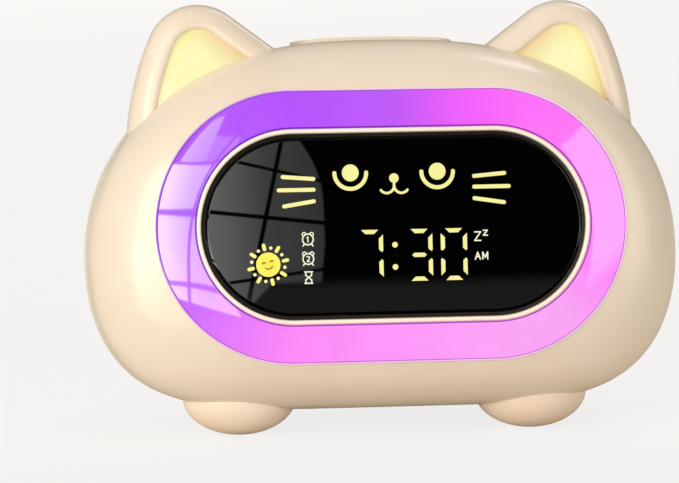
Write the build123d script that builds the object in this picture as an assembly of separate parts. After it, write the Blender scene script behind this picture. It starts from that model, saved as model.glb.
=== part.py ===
from build123d import *
import os
from math import asin, cos, degrees, pi, radians, sin, sqrt, tan

# A kids' alarm clock with a night light: a pillow-shaped case that leans back on two paws and two
# rubber pads, with a lit ring round a black display, two lit ears, a top key, five rear keys and a
# battery door. Millimetres. The case is drawn upright in its own frame: X to the right, Y to the
# rear, Z up, with the origin in the plane of symmetry. At the end it is leaned back and set down,
# so that the origin is the middle of the clock's footprint on the table.

# Making allowances: how far a cutter runs past its work, how far joined solids run into each
# other, a length beyond the whole clock, and how near two places count as one
OVERCUT = 1.0
EMBED = 0.5
EVERYWHERE = 200.0
NEAR = 0.5

# Attitude
LEAN = 10.0
CASE_LIFT = 47.9

# Case outline: two half superellipses on a shared widest line
HALF_WIDTH = 70.0
WIDEST_Z = -6.93
UPPER_RISE = 50.74
UPPER_POWER_X = 2.66
UPPER_POWER_Z = 2.03
LOWER_DROP = 36.24
LOWER_POWER_X = 5.0
LOWER_POWER_Z = 2.14
OUTLINE_STEPS = 16
DOME_STEPS = 5
REAR_STEPS = 6

# Case depth: dome at the front, straight band, rounded rear
BAND_FRONT = -4.0
BAND_REAR = 13.0
DOME_SWEEP = 65.0
DOME_FRONT = -19.3
REAR_Y = 32.0
REAR_ROUND = 18.0
WALL = 2.2
SEAT_DRAW = 0.3
PARTING = 3.0
LIP_DEPTH = 1.5
LIP_WALL = 1.0
LIP_GAP = 0.1

# Racetrack stack: ring, bezel, lens. Radii are half heights, TRACK is half the straight run.
TRACK = 23.54
RING_Z = -0.47
RING_OUTER = 31.7
RING_INNER = 22.85
RING_OUTER_Y = -18.85
RING_INNER_Y = -21.75
RING_THICK = 2.0
RING_CROWN = 0.35
CROWN_STEPS = 6
RING_GAP = 0.15
RING_FLANGE = 1.5
RING_RIB = 1.825
FLANGE_THICK = 1.2
SEAT_UNDERLAP = 1.2
LIP_OVER_FLANGE = 1.45
BEZEL_OUTER = 22.68
BEZEL_FRONT = -21.95
BEZEL_ROUND = 0.3
LENS_RADIUS = 21.58
LENS_GAP = 0.08
LENS_FRONT = -22.1
LENS_THICK = 2.5
LENS_BEVEL = 1.9
LENS_BEVEL_DROP = 0.6
BEVEL_STEPS = 5
LEDGE_WIDTH = 1.2
LEDGE_THICK = 1.5
FRAME_WALL = 1.38
FRAME_FLANGE = 2.8
FRAME_DEPTH = 13.4
FRAME_FIT = 0.1
FRAME_SCREW_SHARE = 0.8
BLOCK_GAP = 0.2
WELL_MARGIN = 0.4
LAMP_PITCH = 8.0
DISPLAY_LAMP = 1.8
BOARD_THICK = 1.6
PLATE_THICK = 1.6
TRAY_WALL = 1.2
RING_BOARD_INNER = 23.6
RING_BOARD_OUTER = 31.6
RING_LED = 2.8
LED_HEIGHT = 1.0
RING_LEDS_PER_RUN = 5
RING_LEDS_PER_TURN = 5
LUG_X = 16.0
LUG_RISE = 37.0
LUG_DROP = 36.1
LUG_RADIUS = 2.7
BOSS_RADIUS = 2.6

# Lit windows in the lens, placed from the middle of the ring
WINDOW_DEPTH = 1.0
EYE_X = 10.2
EYE_Z = 12.3
EYE_RADIUS = 1.97
LID_RADIUS = 3.72
STROKE = 0.93
NOSE_Z = 10.9
NOSE_RADIUS = 1.12
MOUTH_STROKE = 0.58
MOUTH_CURL = 1.73
MOUTH_SWEEP = 143.0
WHISKER_ROOT = 18.85
WHISKERS = ((11.04, 26.0, 11.62), (8.55, 27.0, 8.55), (5.87, 25.8, 4.8))
DIGIT_TOP = -1.03
DIGIT_HEIGHT = 12.05
DIGIT_WIDTH = 6.2
SEGMENT = 0.98
SEGMENT_END = 1.1
SEGMENT_MITRE = 1.0
SEGMENT_WAIST = 0.85
SEGMENT_POINT = 0.3
DIGIT_RIGHTS = (-2.88, 8.72, 16.87)
DIGIT_SEGMENTS = ("abc", "abcdg", "abcdef")
COLON_X = -0.1
COLON_ZS = (-4.6, -9.75)
COLON_RADIUS = 0.66
TEXT_STROKE = 0.3
THIN_STROKE = 0.25
SNORE = (18.7, -2.0)
SNORE_SIZE = (1.4, 2.0)
SMALL_SNORE = (20.75, -1.65)
SMALL_SNORE_SIZE = (0.95, 1.15)
AM_LEFT = 18.75
AM_TOP = -6.75
AM_SIZE = (1.15, 1.6)
AM_PITCH = 1.75
ZED = ((0, 0, 1, 0), (1, 0, 0, -1), (0, -1, 1, -1))
BIG_A = ((0, -1, 0.5, 0), (0.5, 0, 1, -1), (0.22, -0.62, 0.78, -0.62))
BIG_M = ((0, -1, 0, 0), (0, 0, 0.5, -0.75), (0.5, -0.75, 1, 0), (1, 0, 1, -1))
ICON_X = -20.45
ALARM_ZS = (-2.95, -7.46)
ALARM_RADIUS = 1.4
BELL_RADIUS = 0.56
BELL_SPOT = (0.62, 0.84)
LEG_TOP = (0.6, -0.75)
LEG_FOOT = (0.82, -1.06)
NUMBER_HEIGHT = 1.2
NUMBER_WIDTH = 0.58
NUMBER_ONE = ((-0.3, 0.3), (0, 0.5), (0, -0.5))
NUMBER_TWO = ((-0.5, 0.42), (0, 0.5), (0.5, 0.35), (0.4, 0.05), (-0.5, -0.5), (0.5, -0.5))
GLASS_TOP = -10.45
GLASS_WIDTH = 1.8
GLASS_HEIGHT = 2.65
BULB_HALF = 0.38
BULB_STRAIGHT = 0.3
SUN_X = -29.8
SUN_Z = -8.6
SUN_RADIUS = 2.83
RAY_INNER = 3.65
RAY_OUTER = 4.6
RAY_WIDTH = 0.8
RAY_TURN = 12.7
SUN_DOT_RING = 3.9
SUN_DOT_RADIUS = 0.38
SUN_RAYS = 8
SUN_EYE_X = 0.95
SUN_EYE_Z = 0.25
SUN_EYE_RADIUS = 0.45
SUN_SMILE_Z = -0.1
SUN_SMILE_RADIUS = 0.95
SUN_ARC = 120.0

# Ears: a tip arc between a straight inner flank and a long outer arc
EAR_TIP_X = 43.39
EAR_TIP_Z = 40.49
EAR_TIP_RADIUS = 12.16
EAR_OUTER_RADIUS = 67.3
EAR_INNER_SLOPE = 36.94
EAR_OUTER_TURN = 66.02
EAR_FRONT = -8.5
EAR_THICK = 15.0
EAR_THICK_Z = 25.0
EAR_BACK_SLOPE = 8.0
EAR_ROLL = 4.8
EAR_INNER_ROLL = 2.2
EAR_WALL = 1.8
EAR_SPLIT = -1.5
EAR_ROOT_X = 20.0
EAR_ROOT_Z = 12.0
EAR_CUT = 5.0
EAR_HOLE_DEPTH = 6.0
EAR_FIT = 0.15
EAR_FLANGE_THICK = 2.0
EAR_FLANGE_REACH = 2.6
EAR_FLANGE_Y = (-4.0, 6.0)
EAR_FLANGE_LOW = 15.0
EAR_RIM = 5.6
EAR_RIM_FLARE = 0.6
EAR_LENS_LAP = 1.3
EAR_LENS_THICK = 1.2
EAR_LENS_RISE = 0.9
EAR_LENS_FIT = 0.12
EAR_BOARD_SIZE = (15.0, 9.0)
EAR_BOARD_THICK = 1.2
EAR_BOARD_X = 45.5
EAR_BOARD_Z = 34.5
EAR_BOARD_SETBACK = 1.2
EAR_LED = 3.0
EAR_LED_PITCH = 6.4
EAR_POST_RADIUS = 1.4

# Paws and rear pads
PAW_X = 34.85
PAW_Y = -6.9
PAW_HALF = (13.4, 10.5, 8.7)
PAW_EQUATOR_Z = 8.35
PAW_PLUG_RADIUS = 3.2
PAW_PLUG_Y = -2.0
PAW_PLUG_RISE = 2.0
PAW_PLUG_ROOT = 2.0
PLUG_FIT = 0.1
PAD_X = 36.0
PAD_CASE_Y = 20.0
PAD_RADIUS = 6.0
PAD_SOLE_RADIUS = 5.2
PAD_SINK = 2.9

# Top key
TOP_KEY_Y = 12.6
TOP_KEY_WIDTH = 39.0
TOP_KEY_DEPTH = 14.0
TOP_KEY_CORNER = 6.5
TOP_KEY_PROUD = 1.4
TOP_KEY_GAP = 0.25
TOP_KEY_TRAVEL = 1.0
TOP_KEY_TALL = 20.0
TOP_FLANGE_DROP = 4.6
TOP_FLANGE_REACH = 1.5
TOP_FLANGE_PLAY = 0.1
TOP_STEM_RADIUS = 2.0
TOP_STEM_LENGTH = 1.0
SWITCH_SIZE = 6.0
SWITCH_HEIGHT = 3.5
PLUNGER_RADIUS = 1.7
PLUNGER_FIT = 0.06
PLUNGER_REST = 0.4
SWITCH_BORE_SPARE = 0.2
TOP_BOARD_SIZE = (26.0, 12.0)
TOP_POST_SETOUT = 4.0
TOP_POST_HALF = (1.5, 3.0)
TOP_ARM_THICK = 1.5
TOP_ARM_LAP = 1.0

# Rear keys
KEY_COUNT = 5
KEY_PITCH = 11.0
KEY_Z = 18.2
KEY_RADIUS = 4.0
KEY_PROUD = 1.2
KEY_ROUND = 0.6
KEY_GAP = 0.2
KEY_FLANGE = 0.9
KEY_FLANGE_THICK = 0.9
KEY_STEM_RADIUS = 1.5
KEY_STEM_LENGTH = 1.0
KEY_TRAVEL = 0.6
KEY_BOARD_HALF_WIDTH = 34.0
KEY_BOARD_BELOW = 5.0
KEY_BOARD_ABOVE = 8.9
KEY_BOARD_HOLE_X = 31.0
KEY_BOARD_HOLE_RISE = 5.6

# Battery bay, cells and door
CELL_RADIUS = 5.25
CELL_LENGTH = 44.5
CELL_PITCH = 10.8
CELL_COUNT = 3
CELL_BUTTON_RADIUS = 1.9
CELL_BUTTON_LENGTH = 0.9
SPRING_LENGTH = 4.2
SPRING_BASE = 4.0
SPRING_TIP = 2.4
SPRING_WIRE = 0.8
CONTACT_THICK = 0.4
CONTACT_HALF = 4.0
CONTACT_FOOT = 1.0
CONTACT_HEAD = 2.0
BAY_X = -19.5
BAY_Z = -4.7
BAY_WALL = 1.5
CELL_CLEARANCE = 0.3
DOOR_OVERLAP = 1.0
DOOR_GAP = 0.2
DOOR_CORNER = 3.0
DOOR_CUT = 6.0
DOOR_TAB_WIDTH = 6.0
DOOR_TAB_THICK = 1.5
DOOR_TAB_REACH = 1.5
DOOR_TAB_GAP = 0.3
DOOR_TAB_X = 15.0
DOOR_TAB_INSET = 0.2
DOOR_TAB_ROOT = 1.6
NOTCH_SIDE = 0.4
NOTCH_DEPTH = 3.4
NOTCH_BELOW = 0.6
NOTCH_ABOVE = 3.0
GRIP_WIDTH = 14.0
GRIP_RADIUS = 6.0
GRIP_DEPTH = 0.7
GRIP_DROP = 5.0

# Speaker
SPEAKER_X = 27.0
SPEAKER_Z = -3.0
SPEAKER_RADIUS = 12.5
SPEAKER_FLANGE = 1.2
SPEAKER_FLANGE_THICK = 1.0
SPEAKER_WALL = 0.8
SPEAKER_DEPTH = 5.0
CONE_RADIUS = 10.45
CONE_SETBACK = 0.6
CONE_ROLL = 1.25
CONE_THICK = 0.5
CONE_SINK = 2.2
CONE_CAP_RADIUS = 3.2
CONE_CAP_RISE = 1.0
MAGNET_RADIUS = 6.5
MAGNET_THICK = 3.5
MESH_THICK = 0.3
MESH_INSET = 0.5
GRILLE_HOLE = 0.9
GRILLE_RING_STEP = 2.8
GRILLE_RINGS = 3
CLIP_TURNS = (90, 210, 330)
CLIP_THICK = 1.6
CLIP_HALF_WIDTH = 2.0
CLIP_PLAY = 0.2
CLIP_LAP = 0.7

# Power socket and its board
SOCKET_X = 27.0
SOCKET_Z = -20.5
SOCKET_WIDTH = 8.94
SOCKET_HEIGHT = 3.26
SOCKET_DEPTH = 9.0
SOCKET_SKIN = 0.3
SOCKET_BACK_WALL = 1.5
TONGUE_WIDTH = 6.7
TONGUE_THICK = 0.7
TONGUE_SETBACK = 0.6
SOCKET_SETBACK = 0.8
SOCKET_FIT = 0.15
RECESS_MARGIN = 1.3
RECESS_DEPTH = 0.8
POWER_BOARD_WIDTH = 26.0
POWER_BOARD_HEIGHT = 11.0
POWER_SCREW_INSET = 3.0

# Chips and connectors, each (x, z, width, height, thickness) from the middle of its board
DISPLAY_CHIPS = ((-9, 0, 10, 10, 1.6), (14, 0, 12, 5, 2.6))
KEY_CHIPS = ((-20, 4, 8, 8, 1.4), (-4, 3, 5, 4, 1.2), (14, 3, 12, 5, 3.0))
POWER_CHIPS = ((-4.5, 0, 4, 5, 1.5), (4, 1, 4, 4, 2.0))

# Ribbon cable between the display's and the keys' connectors
RIBBON_X = 14.0
RIBBON_WIDTH = 10.0
RIBBON_THICK = 0.6
RIBBON_BEND = 3.0
RIBBON_Y = 8.0

# Leads: a pair for each consumer
LEAD_RADIUS = 0.6
LEAD_BEND = 1.8
LEAD_PITCH = 2.2
LEAD_HOLE = 0.9
SPEAKER_LEAD_RISE = 9.0
SPEAKER_LEAD_Y = 17.0
SPEAKER_LEAD_Z = 15.0
POWER_LEAD_X = 26.75
POWER_LEAD_DROP = 1.5
POWER_LEAD_Y = 15.2
POWER_LEAD_Z = 18.0
CELL_LEAD_X = 10.6
CELL_LEAD_Y = 20.5
CELL_LEAD_BEND_Y = 17.5
CELL_LEAD_Z = 15.2
TOP_LEAD_X = 3.0
TOP_LEAD_Y = 13.0
TOP_LEAD_Z = 24.5
RING_LEAD_RADIUS = 28.5
RING_LEAD_Y = -2.0
RING_LEAD_END_RADIUS = 22.0
EAR_LEAD_Z = 31.5
EAR_LEAD_Y = 3.1
EAR_LEAD_END = (37.0, 13.5)

# Screws
SCREW_RADIUS = 1.25
SCREW_FIT = 0.05
SCREW_HEAD_RADIUS = 2.6
SCREW_HEAD_THICK = 1.8
SCREW_SOCKET = 1.1
SCREW_SOCKET_DEPTH = 0.9
SCREW_SLOT_HALF = 0.25
SCREW_HOLE_PLAY = 0.2
CASE_SCREW_SPOTS = ((-55.0, 4.0), (55.0, 4.0), (-46.0, -31.5), (46.0, -31.5))
CASE_BOSS_RADIUS = 3.6
CASE_SCREW_BITE = 8.0
CASE_SCREW_FLOOR = 3.0
CASE_WELL_WALL = 0.8
CASE_HEAD_PLAY = 0.3
SHORT_SCREW_BITE = 4.5
SHORT_HEAD_RADIUS = 2.1
SHORT_HEAD_THICK = 1.3
SCREW_END_GAP = 0.5

# Worked-out places
DOME_DEPTH = (BAND_FRONT - DOME_FRONT) / sin(radians(DOME_SWEEP))
REAR_DEPTH = REAR_Y - BAND_REAR
REAR_INNER_Y = REAR_Y - WALL
SEAT_RADIUS = RING_OUTER - SEAT_UNDERLAP
FLANGE_FRONT = RING_OUTER_Y + LIP_OVER_FLANGE
FLANGE_BACK = FLANGE_FRONT + FLANGE_THICK
FLANGE_RADIUS = RING_OUTER + RING_FLANGE
LENS_BACK = LENS_FRONT + LENS_THICK
FRAME_BACK = LENS_BACK + FRAME_DEPTH
TRAY_BACK = FRAME_BACK - PLATE_THICK
TRAY_FLOOR = TRAY_BACK - PLATE_THICK
BLOCK_RADIUS = BEZEL_OUTER - FRAME_WALL - BLOCK_GAP
EAR_BACK = EAR_FRONT + EAR_THICK
EAR_BOARD_Y = EAR_SPLIT + EAR_BOARD_SETBACK
BAY_HALF_X = (CELL_LENGTH + CELL_BUTTON_LENGTH + SPRING_LENGTH + 2 * CONTACT_THICK) / 2
BAY_HALF_Z = (CELL_COUNT * CELL_PITCH) / 2
CELL_Y = REAR_INNER_Y - CELL_CLEARANCE - CELL_RADIUS
BAY_FLOOR_Y = CELL_Y - CELL_RADIUS
DOOR_LEFT = BAY_X - BAY_HALF_X - DOOR_OVERLAP
DOOR_RIGHT = BAY_X + BAY_HALF_X + DOOR_OVERLAP
DOOR_BOTTOM = BAY_Z - BAY_HALF_Z - DOOR_OVERLAP
DOOR_TOP = BAY_Z + BAY_HALF_Z + DOOR_OVERLAP
KEY_FLANGE_Y = REAR_INNER_Y - KEY_FLANGE_THICK
KEY_SWITCH_TOP = KEY_FLANGE_Y - KEY_STEM_LENGTH - KEY_TRAVEL - PLUNGER_REST
KEY_BOARD_REAR = KEY_SWITCH_TOP - SWITCH_HEIGHT
KEY_BOARD_FRONT = KEY_BOARD_REAR - BOARD_THICK
CROWN_Z = WIDEST_Z + UPPER_RISE
TOP_FLANGE_LOW = CROWN_Z - WALL - TOP_FLANGE_DROP
TOP_SWITCH_TOP = TOP_FLANGE_LOW - TOP_STEM_LENGTH - TOP_KEY_TRAVEL - PLUNGER_REST
TOP_BOARD_TOP = TOP_SWITCH_TOP - SWITCH_HEIGHT
TOP_BOARD_BOTTOM = TOP_BOARD_TOP - BOARD_THICK
POWER_BOARD_Y = REAR_Y - SOCKET_SETBACK - SOCKET_DEPTH


# ---- shared shapes -------------------------------------------------------------------------

def block(x, y, z):
    """A box between two corners, given as (low, high) pairs."""
    size = (x[1] - x[0], y[1] - y[0], z[1] - z[0])
    return Pos((x[0] + x[1]) / 2, (y[0] + y[1]) / 2, (z[0] + z[1]) / 2) * Box(*size)


def rod(x, z, radius, front, back):
    """A cylinder along Y."""
    return Pos(x, (front + back) / 2, z) * Rot(X=90) * Cylinder(radius, back - front)


def plate(sketch, front, back):
    """A sketch drawn in X and Z, given thickness along Y."""
    raised = extrude(Plane.XZ * sketch, amount=-(back - front))
    return Pos(0, front, 0) * raised


def racetrack(corners):
    """A (depth, radius) profile carried round the racetrack: two straight runs and two half turns."""
    profile = make_face(Plane.YZ * Polyline(*corners, close=True))
    run = extrude(Pos(-TRACK, 0, 0) * profile, amount=2 * TRACK, dir=(1, 0, 0))
    turn = revolve(Pos(TRACK, 0, 0) * profile, Axis((TRACK, 0, 0), (0, 1, 0)), revolution_arc=180)
    half = run + turn
    return Pos(0, 0, RING_Z) * (half + Rot(Y=180) * half)


def track_plate(radius, front, back):
    """A plain racetrack plate."""
    return Pos(0, 0, RING_Z) * plate(SlotOverall(2 * (TRACK + radius), 2 * radius), front, back)


def joined(shapes):
    """One shape made of many."""
    whole = shapes[0]
    for shape in shapes[1:]:
        whole += shape
    return whole


def screw(bite, head_radius, head_thick):
    """A cross-recess screw with its point at the origin's side and its head's seat at zero, along Y."""
    body = rod(0, 0, SCREW_RADIUS, -bite, 0) + rod(0, 0, head_radius, 0, head_thick)
    slot = block((-SCREW_SOCKET, SCREW_SOCKET), (head_thick - SCREW_SOCKET_DEPTH, head_thick + OVERCUT),
                 (-SCREW_SLOT_HALF, SCREW_SLOT_HALF))
    return body - slot - Rot(Y=90) * slot


def pair(maker):
    """The same piece on both sides of the clock, as {side: solid}."""
    right = maker()
    return {"left": mirror(right, about=Plane.YZ), "right": right}


# ---- case ----------------------------------------------------------------------------------

def outline_point(swing, inset):
    """A point of the case's outline: X follows the sine of swing, Z the superellipse through it."""
    across = sin(swing)
    if cos(swing) >= 0:
        height = (1 - abs(across) ** UPPER_POWER_X) ** (1 / UPPER_POWER_Z) * (UPPER_RISE - inset)
    else:
        height = -(1 - abs(across) ** LOWER_POWER_X) ** (1 / LOWER_POWER_Z) * (LOWER_DROP - inset)
    return (HALF_WIDTH - inset) * across, WIDEST_Z + height


def seat_point(swing, radius):
    """The matching point of the racetrack that the dome runs down to."""
    x = (TRACK + radius) * sin(swing)
    beyond = max(abs(x) - TRACK, 0)
    height = sqrt(max(radius ** 2 - beyond ** 2, 0))
    return x, RING_Z + (height if cos(swing) >= 0 else -height)


def section(depth, inset, seat_share=0.0, seat_radius=SEAT_RADIUS):
    """One section of the case across Y, between the outline (share 0) and the ring's seat (share 1)."""
    points = []
    for step in range(2 * OUTLINE_STEPS):
        swing = radians(-90 + 180 * step / OUTLINE_STEPS)
        outer = outline_point(swing, inset)
        seat = seat_point(swing, seat_radius)
        x = outer[0] + (seat[0] - outer[0]) * seat_share
        z = outer[1] + (seat[1] - outer[1]) * seat_share
        points.append((x, depth, z))
    return make_face(Spline(*points, periodic=True))


def case_form(inset):
    """The whole pillow, drawn in by inset: quarter-ellipse dome, straight band, rounded rear."""
    sections = []
    dome_end = 1 - cos(radians(DOME_SWEEP))
    for step in range(DOME_STEPS, 0, -1):
        turn = radians(DOME_SWEEP * step / DOME_STEPS)
        depth = BAND_FRONT - (DOME_DEPTH - inset) * sin(turn)
        share = (1 - cos(turn)) / dome_end
        sections.append(section(depth, inset, share, SEAT_RADIUS - SEAT_DRAW * inset))
    for depth in (BAND_FRONT, (BAND_FRONT + BAND_REAR) / 2, BAND_REAR):
        sections.append(section(depth, inset))
    for step in range(1, REAR_STEPS + 1):
        turn = pi / 2 * step / REAR_STEPS
        depth = BAND_REAR + (REAR_DEPTH - inset) * sin(turn)
        sections.append(section(depth, inset + (REAR_ROUND - inset) * (1 - cos(turn))))
    return loft(sections)


def band(inset, front, back):
    """A straight prism of the outline."""
    return extrude(section(front, inset), amount=back - front, dir=(0, 1, 0))


CASE_OUTER = case_form(0)
CASE_INNER = case_form(WALL)


def front_half(shape, depth):
    return shape & block((-EVERYWHERE, EVERYWHERE), (-EVERYWHERE, depth), (-EVERYWHERE, EVERYWHERE))


def rear_half(shape, depth):
    return shape & block((-EVERYWHERE, EVERYWHERE), (depth, EVERYWHERE), (-EVERYWHERE, EVERYWHERE))


def tray_lug_spots():
    return [(side * LUG_X, RING_Z + rise) for side in (-1, 1) for rise in (LUG_RISE, -LUG_DROP)]


def front_shell():
    """Front case half: dome, ring seat, lip for the rear half, bosses for tray and case screws."""
    shell = front_half(CASE_OUTER - CASE_INNER, PARTING)
    lip = band(WALL - LIP_WALL, PARTING - OVERCUT, PARTING + LIP_DEPTH)
    shell += lip - band(WALL, PARTING - 2 * OVERCUT, PARTING + LIP_DEPTH + OVERCUT)
    bosses = [rod(x, z, BOSS_RADIUS, DOME_FRONT, TRAY_FLOOR) for x, z in tray_lug_spots()]
    bosses += [rod(x, z, CASE_BOSS_RADIUS, DOME_FRONT, PARTING) for x, z in CASE_SCREW_SPOTS]
    for boss in bosses:
        shell += boss & CASE_INNER
    for x, z in tray_lug_spots():
        shell -= rod(x, z, SCREW_RADIUS + SCREW_FIT, TRAY_FLOOR - SHORT_SCREW_BITE, TRAY_FLOOR + OVERCUT)
    for x, z in CASE_SCREW_SPOTS:
        low = PARTING - CASE_SCREW_BITE - OVERCUT
        shell -= rod(x, z, SCREW_RADIUS + SCREW_FIT, low, PARTING + OVERCUT)
    shell -= track_plate(RING_OUTER + RING_GAP, DOME_FRONT - OVERCUT, TRAY_BACK)
    shell -= track_plate(FLANGE_RADIUS + RING_GAP, FLANGE_FRONT, TRAY_BACK)
    for hole in paw_plug_holes():
        shell -= hole
    return shell - ear_openings()


def screw_well(x, z):
    """Boss for one case screw, with a head well open to the rear; returns (boss, hole)."""
    boss = rod(x, z, CASE_BOSS_RADIUS + CASE_WELL_WALL, PARTING, REAR_Y) & CASE_OUTER
    well = rod(x, z, SCREW_HEAD_RADIUS + CASE_HEAD_PLAY, PARTING + CASE_SCREW_FLOOR, REAR_Y + OVERCUT)
    return boss, well + rod(x, z, SCREW_RADIUS + SCREW_HOLE_PLAY, PARTING - OVERCUT, REAR_Y)


def board_post(x, z, board_y):
    """Post from the rear wall to a board, and the pilot hole of its screw; returns (post, hole)."""
    post = rod(x, z, BOSS_RADIUS, board_y, REAR_INNER_Y + EMBED) & CASE_OUTER
    return post, rod(x, z, SCREW_RADIUS + SCREW_FIT, board_y - OVERCUT, board_y + SHORT_SCREW_BITE)


def rear_shell():
    """Rear case half: battery bay, key holes, speaker grille, socket recess and screw wells."""
    shell = rear_half(CASE_OUTER - CASE_INNER, PARTING)
    shell -= band(WALL - LIP_WALL - LIP_GAP, PARTING - OVERCUT, PARTING + LIP_DEPTH + LIP_GAP)
    shell += bay_walls() & CASE_OUTER
    posts = [board_post(x, z, KEY_BOARD_REAR) for x, z in key_board_holes()]
    posts += [board_post(x, z, POWER_BOARD_Y) for x, z in power_board_holes()]
    for post, hole in posts:
        shell = shell + post - hole
    for x, z in CASE_SCREW_SPOTS:
        boss, well = screw_well(x, z)
        shell = shell + boss - well
    shell += speaker_clips()
    shell -= door_prism(DOOR_GAP)
    shell -= tab_notches()
    for x in key_places():
        shell -= rod(x, KEY_Z, KEY_RADIUS + KEY_GAP, REAR_INNER_Y - OVERCUT, REAR_Y + OVERCUT)
    shell -= grille_holes()
    shell -= socket_cut()
    shell -= top_key_prism(TOP_KEY_GAP)
    shell += top_board_posts()
    for hole in pad_cones(PLUG_FIT):
        shell -= hole
    return shell - ear_openings()


# ---- ring, tray, bezel and lens ------------------------------------------------------------

def light_ring():
    """Translucent ring: crowned front that slopes from the bezel down to the case, and a hidden flange."""
    inner_back = RING_INNER_Y + RING_THICK
    rib = RING_OUTER - RING_RIB
    front = []
    for step in range(CROWN_STEPS + 1):
        share = step / CROWN_STEPS
        crown = 4 * share * (1 - share) * RING_CROWN
        depth = RING_OUTER_Y + (RING_INNER_Y - RING_OUTER_Y) * share - crown
        front.append((depth, RING_OUTER - (RING_OUTER - RING_INNER) * share))
    back = [(inner_back, RING_INNER), (FLANGE_FRONT, rib), (FLANGE_BACK, rib)]
    rim = [(FLANGE_BACK, FLANGE_RADIUS), (FLANGE_FRONT, FLANGE_RADIUS), (FLANGE_FRONT, RING_OUTER)]
    return racetrack(front + back + rim)


def ring_tray():
    """White light chamber behind the ring, screwed to the front shell by four lugs."""
    wall_inner = FLANGE_RADIUS - TRAY_WALL
    floor_inner = BEZEL_OUTER + FRAME_FIT
    tray = racetrack([(FLANGE_BACK, wall_inner), (FLANGE_BACK, FLANGE_RADIUS), (TRAY_BACK, FLANGE_RADIUS),
                      (TRAY_BACK, floor_inner), (TRAY_FLOOR, floor_inner), (TRAY_FLOOR, wall_inner)])
    for x, z in tray_lug_spots():
        inward = RING_Z + (FLANGE_RADIUS - EMBED) * (1 if z > RING_Z else -1)
        tray += rod(x, z, LUG_RADIUS, TRAY_FLOOR, TRAY_BACK)
        tray += block((x - LUG_RADIUS, x + LUG_RADIUS), (TRAY_FLOOR, TRAY_BACK), sorted((inward, z)))
    for x, z in tray_lug_spots() + frame_screw_spots():
        tray -= rod(x, z, SCREW_RADIUS + SCREW_HOLE_PLAY, TRAY_FLOOR - OVERCUT, TRAY_BACK + OVERCUT)
    for x in ring_lead_places():
        tray -= rod(x, RING_Z - RING_LEAD_RADIUS, LEAD_HOLE, TRAY_FLOOR - OVERCUT, TRAY_BACK + OVERCUT)
    return tray


def frame_screw_spots():
    reach = BEZEL_OUTER + FRAME_FLANGE / 2 + FRAME_FIT
    return [(side * TRACK * FRAME_SCREW_SHARE, RING_Z + rise * reach) for side in (-1, 1) for rise in (-1, 1)]


def ring_led_board():
    board = track_plate(RING_BOARD_OUTER, TRAY_FLOOR - BOARD_THICK, TRAY_FLOOR)
    return board - track_plate(RING_BOARD_INNER, TRAY_FLOOR - BOARD_THICK - OVERCUT, TRAY_FLOOR + OVERCUT)


def ring_led_places():
    """Middles of the ring's lamps with their turn: along both runs and round both turns."""
    radius = (RING_BOARD_INNER + RING_BOARD_OUTER) / 2
    places = []
    for step in range(RING_LEDS_PER_RUN):
        x = TRACK * (2 * (step + 0.5) / RING_LEDS_PER_RUN - 1)
        places += [(x, RING_Z + radius, 0), (x, RING_Z - radius, 0)]
    for step in range(RING_LEDS_PER_TURN):
        turn = -90 + 180 * (step + 0.5) / RING_LEDS_PER_TURN
        x = TRACK + radius * cos(radians(turn))
        z = radius * sin(radians(turn))
        places += [(x, RING_Z + z, -turn), (-x, RING_Z + z, turn)]
    return places


def ring_leds():
    front = TRAY_FLOOR - BOARD_THICK - LED_HEIGHT
    lamp = Pos(0, front + LED_HEIGHT / 2, 0) * Box(RING_LED, LED_HEIGHT, RING_LED)
    lamps = [Pos(x, 0, z) * Rot(Y=turn) * lamp for x, z, turn in ring_led_places()]
    return Compound(lamps)


def display_bezel():
    """Thin cream frame round the lens; its tube keeps the ring's light off the display."""
    inner = LENS_RADIUS + LENS_GAP
    tube_inner = BEZEL_OUTER - FRAME_WALL
    ledge_inner = inner - LEDGE_WIDTH
    flange = BEZEL_OUTER + FRAME_FLANGE
    frame = racetrack([
        (BEZEL_FRONT + BEZEL_ROUND, inner), (BEZEL_FRONT, inner + BEZEL_ROUND),
        (BEZEL_FRONT, BEZEL_OUTER - BEZEL_ROUND), (BEZEL_FRONT + BEZEL_ROUND, BEZEL_OUTER),
        (TRAY_BACK, BEZEL_OUTER), (TRAY_BACK, flange), (FRAME_BACK, flange), (FRAME_BACK, tube_inner),
        (LENS_BACK + LEDGE_THICK, tube_inner), (LENS_BACK + LEDGE_THICK, ledge_inner),
        (LENS_BACK, ledge_inner), (LENS_BACK, inner)])
    for x, z in frame_screw_spots():
        frame -= rod(x, z, SCREW_RADIUS + SCREW_HOLE_PLAY, TRAY_BACK - OVERCUT, FRAME_BACK + OVERCUT)
    return frame


def display_lens():
    """Smoked black face plate with a rolled edge and a pocket for each lit window."""
    corners = [(LENS_FRONT, 0)]
    for step in range(BEVEL_STEPS + 1):
        turn = pi / 2 * step / BEVEL_STEPS
        depth = LENS_FRONT + LENS_BEVEL_DROP * (1 - cos(turn))
        corners.append((depth, LENS_RADIUS - LENS_BEVEL + LENS_BEVEL * sin(turn)))
    corners += [(LENS_BACK, LENS_RADIUS), (LENS_BACK, 0)]
    lens = racetrack(corners)
    for window in WINDOWS.values():
        for solid in window.solids():
            lens -= solid
    return lens


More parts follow.
